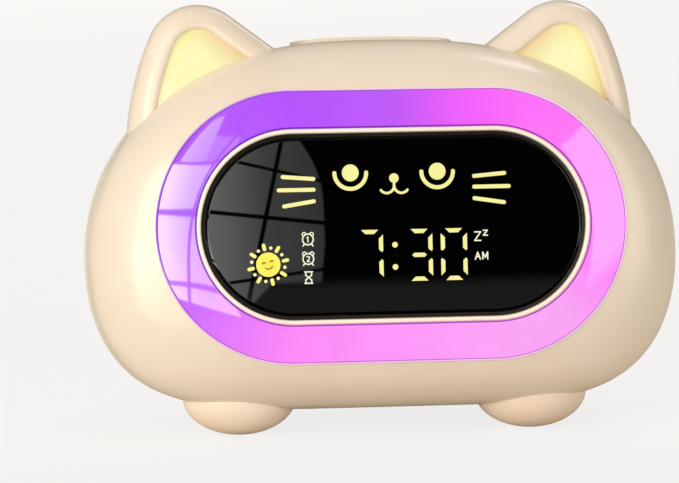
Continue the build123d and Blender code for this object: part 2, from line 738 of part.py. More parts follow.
def light_wells():
    """Openings of the light block, (left, right, low, high) from the middle of the ring."""
    digit_low = DIGIT_TOP - DIGIT_HEIGHT
    eye_reach = EYE_X + LID_RADIUS + STROKE
    whisker_low = WHISKERS[2][2] - STROKE
    whisker_high = WHISKERS[0][2] + STROKE
    whisker_tip = WHISKERS[1][1] + STROKE
    colon_low = COLON_ZS[1] - STROKE
    colon_high = COLON_ZS[0] + STROKE
    icon_half = ALARM_RADIUS + TEXT_STROKE
    sun_reach = RAY_OUTER + TEXT_STROKE
    text_right = AM_LEFT + AM_PITCH + AM_SIZE[0]
    text_low = AM_TOP - AM_SIZE[1]
    wells = [(right - DIGIT_WIDTH, right, digit_low, DIGIT_TOP) for right in DIGIT_RIGHTS]
    wells += [(-eye_reach, eye_reach, NOSE_Z - 2 * MOUTH_CURL - STROKE, EYE_Z + EYE_RADIUS),
              (-whisker_tip, -WHISKER_ROOT, whisker_low, whisker_high),
              (WHISKER_ROOT, whisker_tip, whisker_low, whisker_high),
              (COLON_X - COLON_RADIUS, COLON_X + COLON_RADIUS, colon_low, colon_high),
              (ICON_X - icon_half, ICON_X + icon_half, digit_low, DIGIT_TOP),
              (AM_LEFT, text_right, text_low, DIGIT_TOP),
              (SUN_X - sun_reach, SUN_X + sun_reach, SUN_Z - sun_reach, SUN_Z + sun_reach)]
    return wells


def display_light_block():
    """White block behind the lens with one light well for each group of windows."""
    front = LENS_BACK + LEDGE_THICK
    body = track_plate(BLOCK_RADIUS, front, FRAME_BACK)
    for left, right, low, high in light_wells():
        body -= block((left - WELL_MARGIN, right + WELL_MARGIN), (front - OVERCUT, FRAME_BACK + OVERCUT),
                      (RING_Z + low - WELL_MARGIN, RING_Z + high + WELL_MARGIN))
    return body


def display_board():
    board = track_plate(BEZEL_OUTER + FRAME_FLANGE, FRAME_BACK, FRAME_BACK + BOARD_THICK)
    for x, z in frame_screw_spots():
        hole_end = FRAME_BACK + BOARD_THICK + OVERCUT
        board -= rod(x, z, SCREW_RADIUS + SCREW_HOLE_PLAY, FRAME_BACK - OVERCUT, hole_end)
    return board


def along(low, high):
    """Evenly spaced places for lamps between two ends."""
    count = max(round((high - low) / LAMP_PITCH), 1)
    return [low + (high - low) * (index + 0.5) / count for index in range(count)]


def display_leds():
    """Chip lamps on the display board, spread over each light well."""
    lamp = Pos(0, FRAME_BACK - LED_HEIGHT / 2, RING_Z) * Box(DISPLAY_LAMP, LED_HEIGHT, DISPLAY_LAMP)
    lamps = []
    for left, right, low, high in light_wells():
        lamps += [Pos(x, 0, z) * lamp for x in along(left, right) for z in along(low, high)]
    return Compound(lamps)


# ---- lit windows ---------------------------------------------------------------------------

def bar(start, end, width):
    """A round-ended stroke between two points of the display."""
    run = (end[0] - start[0], end[1] - start[1])
    length = sqrt(run[0] ** 2 + run[1] ** 2)
    angle = degrees(asin(run[1] / length)) * (1 if run[0] >= 0 else -1)
    middle = Pos((start[0] + end[0]) / 2, (start[1] + end[1]) / 2)
    return middle * Rot(Z=angle) * SlotOverall(length + width, width)


def arc_stroke(centre, radius, width, start, sweep_angle):
    """A round-ended stroke along an arc."""
    return SlotArc(CenterArc(centre, radius, start, sweep_angle), width)


def segment_shape(name):
    """One bar of a seven-segment digit, mitred at its outer corners, from the digit's top left corner."""
    inner, start, end = DIGIT_WIDTH - SEGMENT, SEGMENT_END, DIGIT_WIDTH - SEGMENT_END
    middle = -DIGIT_HEIGHT / 2
    top = [(start, 0), (end, 0), (end - SEGMENT_MITRE, -SEGMENT), (start + SEGMENT_MITRE, -SEGMENT)]
    low = middle + SEGMENT_WAIST
    side = [(DIGIT_WIDTH, -SEGMENT_END), (DIGIT_WIDTH, low + SEGMENT_POINT),
            (DIGIT_WIDTH - SEGMENT_POINT, low), (inner, low + 2 * SEGMENT_POINT),
            (inner, -SEGMENT_END - SEGMENT_MITRE)]
    half = SEGMENT / 2
    bar_start, bar_end = start + SEGMENT_POINT, end - SEGMENT_POINT
    across = [(bar_start, middle), (bar_start + half, middle + half), (bar_end - half, middle + half),
              (bar_end, middle), (bar_end - half, middle - half), (bar_start + half, middle - half)]
    corners = {"a": top, "d": top, "b": side, "c": side, "e": side, "f": side, "g": across}[name]
    if name in "cde":
        corners = [(x, -DIGIT_HEIGHT - z) for x, z in corners]
    if name in "ef":
        corners = [(DIGIT_WIDTH - x, z) for x, z in corners]
    return make_face(Polyline(*corners, close=True))


def window_solids(sketches):
    """Sketches of the display, each made a translucent inlay flush with the lens's front."""
    solids = []
    for sketch in sketches:
        for face in sketch.faces():
            solids.append(Pos(0, 0, RING_Z) * plate(face, LENS_FRONT, LENS_FRONT + WINDOW_DEPTH))
    return Compound([solid for each in solids for solid in each.solids()])


def digit_windows():
    sketches = []
    for right, names in zip(DIGIT_RIGHTS, DIGIT_SEGMENTS):
        sketches += [Pos(right - DIGIT_WIDTH, DIGIT_TOP) * segment_shape(name) for name in names]
    return window_solids(sketches)


def colon_windows():
    return window_solids([Pos(COLON_X, z) * Circle(COLON_RADIUS) for z in COLON_ZS])


def face_windows():
    """Eyes with lower lids, nose with its mouth, and three whiskers a side."""
    sketches = []
    for side in (-1, 1):
        sketches.append(Pos(side * EYE_X, EYE_Z) * Circle(EYE_RADIUS))
        sketches.append(arc_stroke((side * EYE_X, EYE_Z), LID_RADIUS, STROKE, 180, 180))
        for root_z, tip_x, tip_z in WHISKERS:
            sketches.append(bar((side * WHISKER_ROOT, root_z), (side * tip_x, tip_z), STROKE))
    fork = NOSE_Z - MOUTH_CURL
    mouth = Pos(0, NOSE_Z) * Circle(NOSE_RADIUS)
    mouth += bar((0, NOSE_Z), (0, fork), MOUTH_STROKE)
    mouth += arc_stroke((-MOUTH_CURL, fork), MOUTH_CURL, MOUTH_STROKE, -MOUTH_SWEEP, MOUTH_SWEEP)
    mouth += arc_stroke((MOUTH_CURL, fork), MOUTH_CURL, MOUTH_STROKE, 180, MOUTH_SWEEP)
    sketches.append(mouth)
    return window_solids(sketches)


def letter(strokes, corner, size):
    """Strokes of a letter on a unit square, scaled and joined, from its top left corner."""
    left, top = corner
    parts = []
    for start_x, start_z, end_x, end_z in strokes:
        start = (left + start_x * size[0], top + start_z * size[1])
        end = (left + end_x * size[0], top + end_z * size[1])
        parts.append(bar(start, end, TEXT_STROKE))
    return joined(parts)


def number_strokes(points, middle_z):
    """A chain of thin strokes through points given as shares of the number's width and height."""
    spots = [(ICON_X + NUMBER_WIDTH * x, middle_z + NUMBER_HEIGHT * z) for x, z in points]
    return joined([bar(start, end, THIN_STROKE) for start, end in zip(spots, spots[1:])])


def alarm_icon(z, number):
    """A small alarm clock: rim, two bells, two legs and its number."""
    face = Circle(ALARM_RADIUS - TEXT_STROKE)
    bell = Circle(BELL_RADIUS) - Circle(BELL_RADIUS - THIN_STROKE)
    icon = Circle(ALARM_RADIUS) - face
    for side in (-1, 1):
        icon += Pos(side * BELL_SPOT[0] * ALARM_RADIUS, BELL_SPOT[1] * ALARM_RADIUS) * bell - face
        leg_top = (side * LEG_TOP[0] * ALARM_RADIUS, LEG_TOP[1] * ALARM_RADIUS)
        leg_foot = (side * LEG_FOOT[0] * ALARM_RADIUS, LEG_FOOT[1] * ALARM_RADIUS)
        icon += bar(leg_top, leg_foot, TEXT_STROKE)
    return [Pos(ICON_X, z) * icon, number_strokes(number, z)]


def hourglass():
    """Two bars joined by two bulbs that meet at a waist."""
    half = GLASS_WIDTH / 2
    bulb = BULB_HALF * GLASS_WIDTH
    foot = GLASS_TOP - GLASS_HEIGHT
    waist = (ICON_X, (GLASS_TOP + foot) / 2)
    parts = []
    for end, sign in ((GLASS_TOP, -1), (foot, 1)):
        parts.append(bar((ICON_X - half, end), (ICON_X + half, end), TEXT_STROKE))
        for side in (-1, 1):
            shoulder = (ICON_X + side * bulb, end + sign * BULB_STRAIGHT * GLASS_HEIGHT)
            parts.append(bar((ICON_X + side * bulb, end), shoulder, TEXT_STROKE))
            parts.append(bar(shoulder, waist, TEXT_STROKE))
    return joined(parts)


def icon_windows():
    """Alarm one, alarm two, hourglass, the snooze letters and AM."""
    sketches = alarm_icon(ALARM_ZS[0], NUMBER_ONE) + alarm_icon(ALARM_ZS[1], NUMBER_TWO)
    sketches.append(hourglass())
    sketches.append(letter(ZED, SNORE, SNORE_SIZE))
    sketches.append(letter(ZED, SMALL_SNORE, SMALL_SNORE_SIZE))
    sketches.append(letter(BIG_A, (AM_LEFT, AM_TOP), AM_SIZE))
    sketches.append(letter(BIG_M, (AM_LEFT + AM_PITCH, AM_TOP), AM_SIZE))
    return window_solids(sketches)


def sun_windows():
    """A plain smiling sun: disc, round-ended rays and a dot between each two rays."""
    slack = (180 - SUN_ARC) / 2
    disc = Circle(SUN_RADIUS)
    disc -= arc_stroke((0, SUN_SMILE_Z), SUN_SMILE_RADIUS, THIN_STROKE, 180 + slack, SUN_ARC)
    for side in (-1, 1):
        disc -= arc_stroke((side * SUN_EYE_X, SUN_EYE_Z), SUN_EYE_RADIUS, THIN_STROKE, slack, SUN_ARC)
    ray = Pos((RAY_INNER + RAY_OUTER) / 2, 0) * SlotOverall(RAY_OUTER - RAY_INNER + RAY_WIDTH, RAY_WIDTH)
    dot = Rot(Z=180 / SUN_RAYS) * Pos(SUN_DOT_RING, 0) * Circle(SUN_DOT_RADIUS)
    place = Pos(SUN_X, SUN_Z) * Rot(Z=RAY_TURN)
    sketches = [place * disc]
    for step in range(SUN_RAYS):
        turned = place * Rot(Z=360 * step / SUN_RAYS)
        sketches += [turned * ray, turned * dot]
    return window_solids(sketches)


WINDOWS = {"digits": digit_windows(), "colon": colon_windows(), "face": face_windows(),
           "icons": icon_windows(), "sun": sun_windows()}


# ---- ears ----------------------------------------------------------------------------------

def ear_profile(inset):
    """Right ear's outline drawn in by inset: inner flank, tip arc, outer arc, and a closed root."""
    inner = radians(EAR_INNER_SLOPE)
    turn = radians(EAR_OUTER_TURN)
    tip = EAR_TIP_RADIUS - inset
    flank_end = (EAR_TIP_X - tip * sin(inner), EAR_TIP_Z + tip * cos(inner))
    run = (flank_end[0] - EAR_ROOT_X) / cos(inner)
    flank_start = (EAR_ROOT_X, flank_end[1] - run * sin(inner))
    crest = (EAR_TIP_X, EAR_TIP_Z + tip)
    shoulder = (EAR_TIP_X + tip * sin(turn), EAR_TIP_Z + tip * cos(turn))
    gap = EAR_OUTER_RADIUS - EAR_TIP_RADIUS
    centre = (EAR_TIP_X - gap * sin(turn), EAR_TIP_Z - gap * cos(turn))
    reach = EAR_OUTER_RADIUS - inset
    foot_turn = pi / 2 + asin((centre[1] - EAR_ROOT_Z) / reach)
    foot = (centre[0] + reach * sin(foot_turn), centre[1] + reach * cos(foot_turn))
    half_turn = (turn + foot_turn) / 2
    middle = (centre[0] + reach * sin(half_turn), centre[1] + reach * cos(half_turn))
    edges = [Line(flank_start, flank_end), ThreePointArc(flank_end, crest, shoulder),
             ThreePointArc(shoulder, middle, foot), Line(foot, (EAR_ROOT_X, EAR_ROOT_Z)),
             Line((EAR_ROOT_X, EAR_ROOT_Z), flank_start)]
    return make_face(edges)


def ear_form(inset, front, back, roll):
    """The ear as a solid with rolled edges along its flanks and tip."""
    body = plate(ear_profile(inset), front, back + EAR_THICK)
    everywhere = (-EVERYWHERE, EVERYWHERE)
    slope = Rot(X=EAR_BACK_SLOPE) * block(everywhere, (0, EVERYWHERE), everywhere)
    body -= Pos(0, back, EAR_THICK_Z) * slope
    rolled = []
    for edge in body.edges():
        middle = edge @ 0.5
        size = edge.bounding_box().size
        on_root = middle.Z < EAR_ROOT_Z + NEAR or middle.X < EAR_ROOT_X + NEAR
        if max(size.X, size.Z) > roll / 2 and not on_root and size.Y < EAR_THICK / 2:
            rolled.append(edge)
    return fillet(rolled, roll)


EAR_OUTER = ear_form(0, EAR_FRONT, EAR_BACK, EAR_ROLL)
EAR_CORE = band(WALL + EAR_FIT + EAR_FLANGE_THICK, EAR_FRONT - EAR_CUT, EAR_BACK + EAR_CUT)


def ear_openings():
    """Both holes in the case that the ears stand in."""
    hole = ear_form(-EAR_FIT, EAR_FRONT - EAR_FIT, EAR_BACK + EAR_FIT, EAR_ROLL + EAR_FIT)
    hole -= band(WALL + EAR_HOLE_DEPTH, EAR_FRONT - EAR_CUT, EAR_BACK + EAR_CUT)
    return hole + mirror(hole, about=Plane.YZ)


def ear_shell():
    """The hollow right ear, with a flange that lies under the case wall."""
    hollow = ear_form(EAR_WALL, EAR_FRONT + EAR_WALL, EAR_BACK - EAR_WALL, EAR_INNER_ROLL)
    ear = EAR_OUTER - hollow
    inner_reach = EAR_ROOT_X + EAR_FLANGE_REACH
    outer_reach = HALF_WIDTH - WALL - 4 * EAR_FIT
    flange = band(WALL + EAR_FIT, *EAR_FLANGE_Y)
    flange &= block((inner_reach, outer_reach), EAR_FLANGE_Y, (EAR_FLANGE_LOW, EVERYWHERE))
    return ear + (flange - hollow) - EAR_CORE


EAR_SHELL = ear_shell()


def lens_floor():
    """What lies below the case's skin, where the ear's window ends."""
    return band(0, EAR_FRONT - EAR_CUT, EAR_BACK + EAR_CUT)


def ear_front():
    """Front rim of the right ear, with a flared window that runs down to the case."""
    window = plate(ear_profile(EAR_RIM), EAR_FRONT - OVERCUT, EAR_FRONT + EAR_WALL + OVERCUT)
    mouth = Pos(0, EAR_FRONT, 0) * (Plane.XZ * ear_profile(EAR_RIM - EAR_RIM_FLARE))
    throat = Pos(0, EAR_FRONT + EAR_RIM_FLARE, 0) * (Plane.XZ * ear_profile(EAR_RIM))
    window += loft([mouth.faces()[0], throat.faces()[0]], ruled=True)
    return front_half(EAR_SHELL, EAR_SPLIT) - (window - lens_floor())


def ear_back():
    """Rear cover of the right ear, with two posts that carry its board."""
    back = rear_half(EAR_SHELL, EAR_SPLIT)
    board_back = EAR_BOARD_Y + EAR_BOARD_THICK
    for side in (-1, 1):
        post_x = EAR_BOARD_X + side * (EAR_BOARD_SIZE[0] / 2 - EAR_POST_RADIUS)
        back += rod(post_x, EAR_BOARD_Z, EAR_POST_RADIUS, board_back, EAR_BACK) & EAR_OUTER
    return back


def ear_lens():
    """Warm diffuser: a raised pane in the rim's window and a flange behind the rim."""
    back_of_rim = EAR_FRONT + EAR_WALL
    pane = plate(ear_profile(EAR_RIM + EAR_LENS_FIT), back_of_rim - EAR_LENS_RISE, back_of_rim)
    pane -= band(-EAR_LENS_FIT, EAR_FRONT - EAR_CUT, EAR_BACK + EAR_CUT)
    flange = plate(ear_profile(EAR_RIM - EAR_LENS_LAP), back_of_rim, back_of_rim + EAR_LENS_THICK)
    flange -= band(WALL, EAR_FRONT - EAR_CUT, EAR_BACK + EAR_CUT)
    return pane + flange


def ear_led_board():
    width, height = EAR_BOARD_SIZE
    return block((EAR_BOARD_X - width / 2, EAR_BOARD_X + width / 2),
                 (EAR_BOARD_Y, EAR_BOARD_Y + EAR_BOARD_THICK),
                 (EAR_BOARD_Z - height / 2, EAR_BOARD_Z + height / 2))


def ear_leds():
    """Two chip lamps on the front of each ear's board."""
    lamp = Pos(0, EAR_BOARD_Y - LED_HEIGHT / 2, EAR_BOARD_Z) * Box(EAR_LED, LED_HEIGHT, EAR_LED)
    places = [side * EAR_BOARD_X + step * EAR_LED_PITCH / 2 for side in (-1, 1) for step in (-1, 1)]
    return Compound([Pos(x, 0, 0) * lamp for x in places])


# ---- leaning back and setting down ---------------------------------------------------------

def upright_to_table(shape):
    """Leans the case back and lifts it onto its paws."""
    return Pos(0, 0, CASE_LIFT) * Rot(X=-LEAN) * shape


def table_to_upright(shape):
    return Rot(X=LEAN) * Pos(0, 0, -CASE_LIFT) * shape


# ---- paws and pads -------------------------------------------------------------------------

def paw_plug(radius, low, high):
    return Pos(PAW_X, PAW_PLUG_Y, (low + high) / 2) * Cylinder(radius, high - low)


def case_bottom():
    """Height of the case's lowest line, upright."""
    return WIDEST_Z - LOWER_DROP


def front_paw():
    """Right paw: a squashed bun with a flat sole, cut to the case, with a plug through its wall."""
    bun = scale(Sphere(1), by=PAW_HALF)
    bun = Pos(PAW_X, PAW_Y, PAW_EQUATOR_Z) * bun
    everywhere = (-EVERYWHERE, EVERYWHERE)
    bun &= block(everywhere, everywhere, (0, EVERYWHERE))
    bun = table_to_upright(bun) - CASE_OUTER
    bun = max(bun.solids(), key=lambda solid: solid.volume)
    top = case_bottom() + WALL + PAW_PLUG_RISE
    return bun + paw_plug(PAW_PLUG_RADIUS, case_bottom() - PAW_PLUG_ROOT, top)


def paw_plug_holes():
    low = case_bottom() - PAW_PLUG_ROOT - OVERCUT
    high = case_bottom() + WALL + PAW_PLUG_RISE + OVERCUT
    hole = paw_plug(PAW_PLUG_RADIUS + PLUG_FIT, low, high)
    return [hole, mirror(hole, about=Plane.YZ)]


def pad_cones(margin):
    """Rear pads as cones from the table into the case wall, in the upright frame."""
    top = upright_to_table(Vertex(0, PAD_CASE_Y, case_bottom() + PAD_SINK)).center()
    cone = Cone(PAD_SOLE_RADIUS + margin, PAD_RADIUS + margin, top.Z + margin)
    return [table_to_upright(Pos(side * PAD_X, top.Y, top.Z / 2) * cone) for side in (-1, 1)]


def rear_pads():
    pads = []
    for pad in pad_cones(0):
        pads += [solid for solid in (pad - CASE_INNER).solids()]
    return Compound(pads)


# ---- top key -------------------------------------------------------------------------------

def top_key_prism(margin):
    pad = Rectangle(TOP_KEY_WIDTH + 2 * margin, TOP_KEY_DEPTH + 2 * margin)
    pad = fillet(pad.vertices(), TOP_KEY_CORNER + margin)
    return Pos(0, TOP_KEY_Y, TOP_FLANGE_LOW) * extrude(pad, amount=TOP_KEY_TALL)


def top_key():
    """Pill-shaped cap that follows the case, with a retaining flange and a stem to its switch."""
    cap = top_key_prism(0) & case_form(-TOP_KEY_PROUD)
    flange = Rectangle(TOP_KEY_WIDTH + 2 * TOP_FLANGE_REACH, TOP_KEY_DEPTH + 2 * TOP_FLANGE_REACH)
    flange = fillet(flange.vertices(), TOP_KEY_CORNER + TOP_FLANGE_REACH)
    flange = Pos(0, TOP_KEY_Y, TOP_FLANGE_LOW) * extrude(flange, amount=CROWN_Z - TOP_FLANGE_LOW)
    flange &= Pos(0, 0, -TOP_FLANGE_PLAY) * CASE_INNER
    stem = Cylinder(TOP_STEM_RADIUS, TOP_STEM_LENGTH)
    return cap + flange + Pos(0, TOP_KEY_Y, TOP_FLANGE_LOW - TOP_STEM_LENGTH / 2) * stem


def top_plunger():
    top = TOP_FLANGE_LOW - TOP_STEM_LENGTH
    low = TOP_SWITCH_TOP - TOP_KEY_TRAVEL
    return Pos(0, TOP_KEY_Y, (top + low) / 2) * Cylinder(PLUNGER_RADIUS, top - low)


def top_switch():
    half = SWITCH_SIZE / 2
    body = block((-half, half), (TOP_KEY_Y - half, TOP_KEY_Y + half), (TOP_BOARD_TOP, TOP_SWITCH_TOP))
    depth = 2 * TOP_KEY_TRAVEL + SWITCH_BORE_SPARE
    return body - Pos(0, TOP_KEY_Y, TOP_SWITCH_TOP) * Cylinder(PLUNGER_RADIUS + PLUNGER_FIT, 2 * depth)


def top_board():
    width, depth = TOP_BOARD_SIZE
    return block((-width / 2, width / 2), (TOP_KEY_Y - depth / 2, TOP_KEY_Y + depth / 2),
                 (TOP_BOARD_BOTTOM, TOP_BOARD_TOP))


def top_board_posts():
    """Two hooks that hang the top key's board from the rear shell's roof."""
    half_width, half_depth = TOP_POST_HALF
    arm_low = TOP_BOARD_BOTTOM - TOP_ARM_THICK
    span = (TOP_KEY_Y - half_depth, TOP_KEY_Y + half_depth)
    parts = []
    for side in (-1, 1):
        x = side * (TOP_KEY_WIDTH / 2 + TOP_POST_SETOUT)
        inner = side * (TOP_BOARD_SIZE[0] / 2 - TOP_ARM_LAP)
        parts.append(block((x - half_width, x + half_width), span, (arm_low, CROWN_Z)) & CASE_OUTER)
        parts.append(block(sorted((inner, x)), span, (arm_low, TOP_BOARD_BOTTOM)))
    return joined(parts)


# ---- rear keys -----------------------------------------------------------------------------

def key_places():
    return [(index - (KEY_COUNT - 1) / 2) * KEY_PITCH for index in range(KEY_COUNT)]


def rear_key(x):
    """Round key with a domed top, a flange behind the wall and a short stem."""
    cap = rod(x, KEY_Z, KEY_RADIUS, KEY_FLANGE_Y, REAR_Y + KEY_PROUD)
    rim = [edge for edge in cap.edges() if (edge @ 0.5).Y > REAR_Y + KEY_PROUD - NEAR]
    cap = fillet(rim, KEY_ROUND)
    flange = rod(x, KEY_Z, KEY_RADIUS + KEY_FLANGE, KEY_FLANGE_Y, REAR_INNER_Y)
    return cap + flange + rod(x, KEY_Z, KEY_STEM_RADIUS, KEY_FLANGE_Y - KEY_STEM_LENGTH, KEY_FLANGE_Y)


def key_plunger(x):
    return rod(x, KEY_Z, PLUNGER_RADIUS, KEY_SWITCH_TOP - KEY_TRAVEL, KEY_FLANGE_Y - KEY_STEM_LENGTH)


def key_switches():
    half = SWITCH_SIZE / 2
    bodies = []
    for x in key_places():
        body = block((x - half, x + half), (KEY_BOARD_REAR, KEY_SWITCH_TOP), (KEY_Z - half, KEY_Z + half))
        floor = KEY_SWITCH_TOP - 2 * KEY_TRAVEL - SWITCH_BORE_SPARE
        bodies.append(body - rod(x, KEY_Z, PLUNGER_RADIUS + PLUNGER_FIT, floor, KEY_SWITCH_TOP + OVERCUT))
    return Compound(bodies)


def key_board_holes():
    return [(side * KEY_BOARD_HOLE_X, KEY_Z + KEY_BOARD_HOLE_RISE) for side in (-1, 1)]


def key_board():
    board = block((-KEY_BOARD_HALF_WIDTH, KEY_BOARD_HALF_WIDTH), (KEY_BOARD_FRONT, KEY_BOARD_REAR),
                  (KEY_Z - KEY_BOARD_BELOW, KEY_Z + KEY_BOARD_ABOVE))
    for x, z in key_board_holes():
        hole_end = KEY_BOARD_REAR + OVERCUT
        board -= rod(x, z, SCREW_RADIUS + SCREW_HOLE_PLAY, KEY_BOARD_FRONT - OVERCUT, hole_end)
    return board


# ---- battery bay, cells and door -----------------------------------------------------------

def cell_heights():
    return [BAY_Z + (index - (CELL_COUNT - 1) / 2) * CELL_PITCH for index in range(CELL_COUNT)]


def bay_walls():
    """Tray for the cells, open to the rear."""
    half_x, half_z = BAY_HALF_X + BAY_WALL, BAY_HALF_Z + BAY_WALL
    outer = block((BAY_X - half_x, BAY_X + half_x), (BAY_FLOOR_Y - BAY_WALL, REAR_INNER_Y),
                  (BAY_Z - half_z, BAY_Z + half_z))
    inner = block((BAY_X - BAY_HALF_X, BAY_X + BAY_HALF_X), (BAY_FLOOR_Y, REAR_Y + OVERCUT),
                  (BAY_Z - BAY_HALF_Z, BAY_Z + BAY_HALF_Z))
    return outer - inner


def door_prism(margin):
    width = DOOR_RIGHT - DOOR_LEFT + 2 * margin
    height = DOOR_TOP - DOOR_BOTTOM + 2 * margin
    sketch = fillet(Rectangle(width, height).vertices(), DOOR_CORNER + margin)
    middle = Pos((DOOR_LEFT + DOOR_RIGHT) / 2, 0, (DOOR_BOTTOM + DOOR_TOP) / 2)
    return middle * plate(sketch, REAR_INNER_Y - DOOR_CUT, REAR_Y + DOOR_CUT)


def tab_places():
    middle = (DOOR_LEFT + DOOR_RIGHT) / 2
    return [middle - DOOR_TAB_X, middle + DOOR_TAB_X]


def battery_door():
    """Lid cut from the rear wall, with two foot tabs it turns on and a finger scoop at its top."""
    lid = (CASE_OUTER - CASE_INNER) & door_prism(0)
    tab_back = REAR_INNER_Y - DOOR_TAB_GAP
    tab_front = tab_back - DOOR_TAB_THICK
    root_top = DOOR_BOTTOM + DOOR_TAB_ROOT
    for x in tab_places():
        span = (x - DOOR_TAB_WIDTH / 2, x + DOOR_TAB_WIDTH / 2)
        lid += block(span, (tab_front, REAR_INNER_Y + EMBED), (DOOR_BOTTOM + DOOR_TAB_INSET, root_top))
        lid += block(span, (tab_front, tab_back), (DOOR_BOTTOM - DOOR_TAB_REACH, root_top))
    scoop = Rot(Y=90) * Cylinder(GRIP_RADIUS, GRIP_WIDTH)
    scoop_y = REAR_Y + GRIP_RADIUS - GRIP_DEPTH
    return lid - Pos((DOOR_LEFT + DOOR_RIGHT) / 2, scoop_y, DOOR_TOP - GRIP_DROP) * scoop


def tab_notches():
    """Room in the bay's foot wall for the door's tabs, at rest and as they swing."""
    half = DOOR_TAB_WIDTH / 2 + NOTCH_SIDE
    low = DOOR_BOTTOM - DOOR_TAB_REACH - NOTCH_BELOW
    return joined([block((x - half, x + half), (REAR_INNER_Y - NOTCH_DEPTH, REAR_INNER_Y),
                         (low, DOOR_BOTTOM + NOTCH_ABOVE)) for x in tab_places()])


def battery_cells():
    """Three cells side by side, the middle one turned about."""
    can = Rot(Y=90) * Cylinder(CELL_RADIUS, CELL_LENGTH)
    button = Rot(Y=90) * Cylinder(CELL_BUTTON_RADIUS, CELL_BUTTON_LENGTH)
    whole = can + Pos(-(CELL_LENGTH + CELL_BUTTON_LENGTH) / 2, 0, 0) * button
    offset = CONTACT_THICK + CELL_BUTTON_LENGTH + CELL_LENGTH / 2 - BAY_HALF_X
    cells = []
    for index, z in enumerate(cell_heights()):
        cell = Pos(offset, 0, 0) * whole
        if index % 2:
            cell = Rot(Y=180) * cell
        cells.append(Pos(BAY_X, CELL_Y, z) * cell)
    return Compound(cells)


def contact_plates():
    """Flat metal plates on both ends of the bay."""
    plates = []
    for side in (-1, 1):
        face = BAY_X + side * BAY_HALF_X
        across = sorted((face, face - side * CONTACT_THICK))
        for z in cell_heights():
            plates.append(block(across, (BAY_FLOOR_Y + CONTACT_FOOT, REAR_INNER_Y - CONTACT_HEAD),
                                (z - CONTACT_HALF, z + CONTACT_HALF)))
    return Compound(plates)


def contact_springs():
    """Conical springs at each cell's flat end, as turned cones."""
    cone = Cone(SPRING_BASE, SPRING_TIP, SPRING_LENGTH)
    cone -= Cone(SPRING_BASE - SPRING_WIRE, SPRING_TIP - SPRING_WIRE, SPRING_LENGTH)
    springs = []
    for index, z in enumerate(cell_heights()):
        side = -1 if index % 2 else 1
        face = BAY_X + side * (BAY_HALF_X - CONTACT_THICK)
        springs.append(Pos(face - side * SPRING_LENGTH / 2, CELL_Y, z) * Rot(Y=-90 * side) * cone)
    return Compound(springs)


# ---- speaker -------------------------------------------------------------------------------

def speaker_front():
    return REAR_INNER_Y - MESH_THICK


def speaker_mesh():
    return rod(SPEAKER_X, SPEAKER_Z, SPEAKER_RADIUS - MESH_INSET, speaker_front(), REAR_INNER_Y)


def speaker_frame():
    """Pressed basket with a thin mounting flange."""
    rim = speaker_front()
    floor = rim - SPEAKER_DEPTH
    outer = SPEAKER_RADIUS - SPEAKER_FLANGE
    frame = rod(SPEAKER_X, SPEAKER_Z, SPEAKER_RADIUS, rim - SPEAKER_FLANGE_THICK, rim)
    frame += rod(SPEAKER_X, SPEAKER_Z, outer, floor, rim)
    return frame - rod(SPEAKER_X, SPEAKER_Z, outer - SPEAKER_WALL, floor + SPEAKER_WALL, rim + OVERCUT)


def speaker_cone():
    """Shallow dish glued in the frame's mouth, with a dust cap."""
    rim = speaker_front() - CONE_SETBACK
    deep = rim - CONE_SINK
    cap = deep + CONE_CAP_RISE
    inner = CONE_RADIUS - CONE_ROLL
    corners = [(rim, CONE_RADIUS), (rim, inner), (deep, CONE_CAP_RADIUS), (cap, 0),
               (cap - CONE_THICK, 0), (deep - CONE_THICK, CONE_CAP_RADIUS),
               (rim - CONE_THICK, inner), (rim - CONE_THICK, CONE_RADIUS)]
    profile = make_face(Plane.YZ * Polyline(*corners, close=True))
    return Pos(SPEAKER_X, 0, SPEAKER_Z) * revolve(profile, Axis.Y)


def speaker_magnet():
    back = speaker_front() - SPEAKER_DEPTH
    return rod(SPEAKER_X, SPEAKER_Z, MAGNET_RADIUS, back - MAGNET_THICK, back)


def speaker_clips():
    """Three hooks round the speaker that press its flange to the wall."""
    lap_y = speaker_front() - SPEAKER_FLANGE_THICK
    inner = SPEAKER_RADIUS + CLIP_PLAY
    across = (-CLIP_HALF_WIDTH, CLIP_HALF_WIDTH)
    hook = block((inner, inner + CLIP_THICK), (lap_y - CLIP_THICK, REAR_INNER_Y + EMBED), across)
    hook += block((SPEAKER_RADIUS - CLIP_LAP, inner + EMBED), (lap_y - CLIP_THICK, lap_y), across)
    return joined([Pos(SPEAKER_X, 0, SPEAKER_Z) * Rot(Y=turn) * hook for turn in CLIP_TURNS])


def grille_holes():
    """Round holes through the rear wall: one in the middle and rings of six, twelve and eighteen."""
    spots = [(0, 0)]
    for ring in range(1, GRILLE_RINGS + 1):
        for step in range(6 * ring):
            turn = 2 * pi * step / (6 * ring)
            spots.append((ring * GRILLE_RING_STEP * cos(turn), ring * GRILLE_RING_STEP * sin(turn)))
    hole = rod(SPEAKER_X, SPEAKER_Z, GRILLE_HOLE, REAR_INNER_Y - OVERCUT, REAR_Y + OVERCUT)
    return joined([Pos(x, 0, z) * hole for x, z in spots])


# ---- power socket --------------------------------------------------------------------------

def socket_slot(margin, front, back):
    slot = SlotOverall(SOCKET_WIDTH + 2 * margin, SOCKET_HEIGHT + 2 * margin)
    return Pos(SOCKET_X, 0, SOCKET_Z) * plate(slot, front, back)


def socket_cut():
    """Slot for the socket and a shallow recess round it for the plug's grip."""
    hole = socket_slot(SOCKET_FIT, REAR_INNER_Y - OVERCUT, REAR_Y + OVERCUT)
    return hole + socket_slot(RECESS_MARGIN, REAR_Y - RECESS_DEPTH, REAR_Y + OVERCUT)


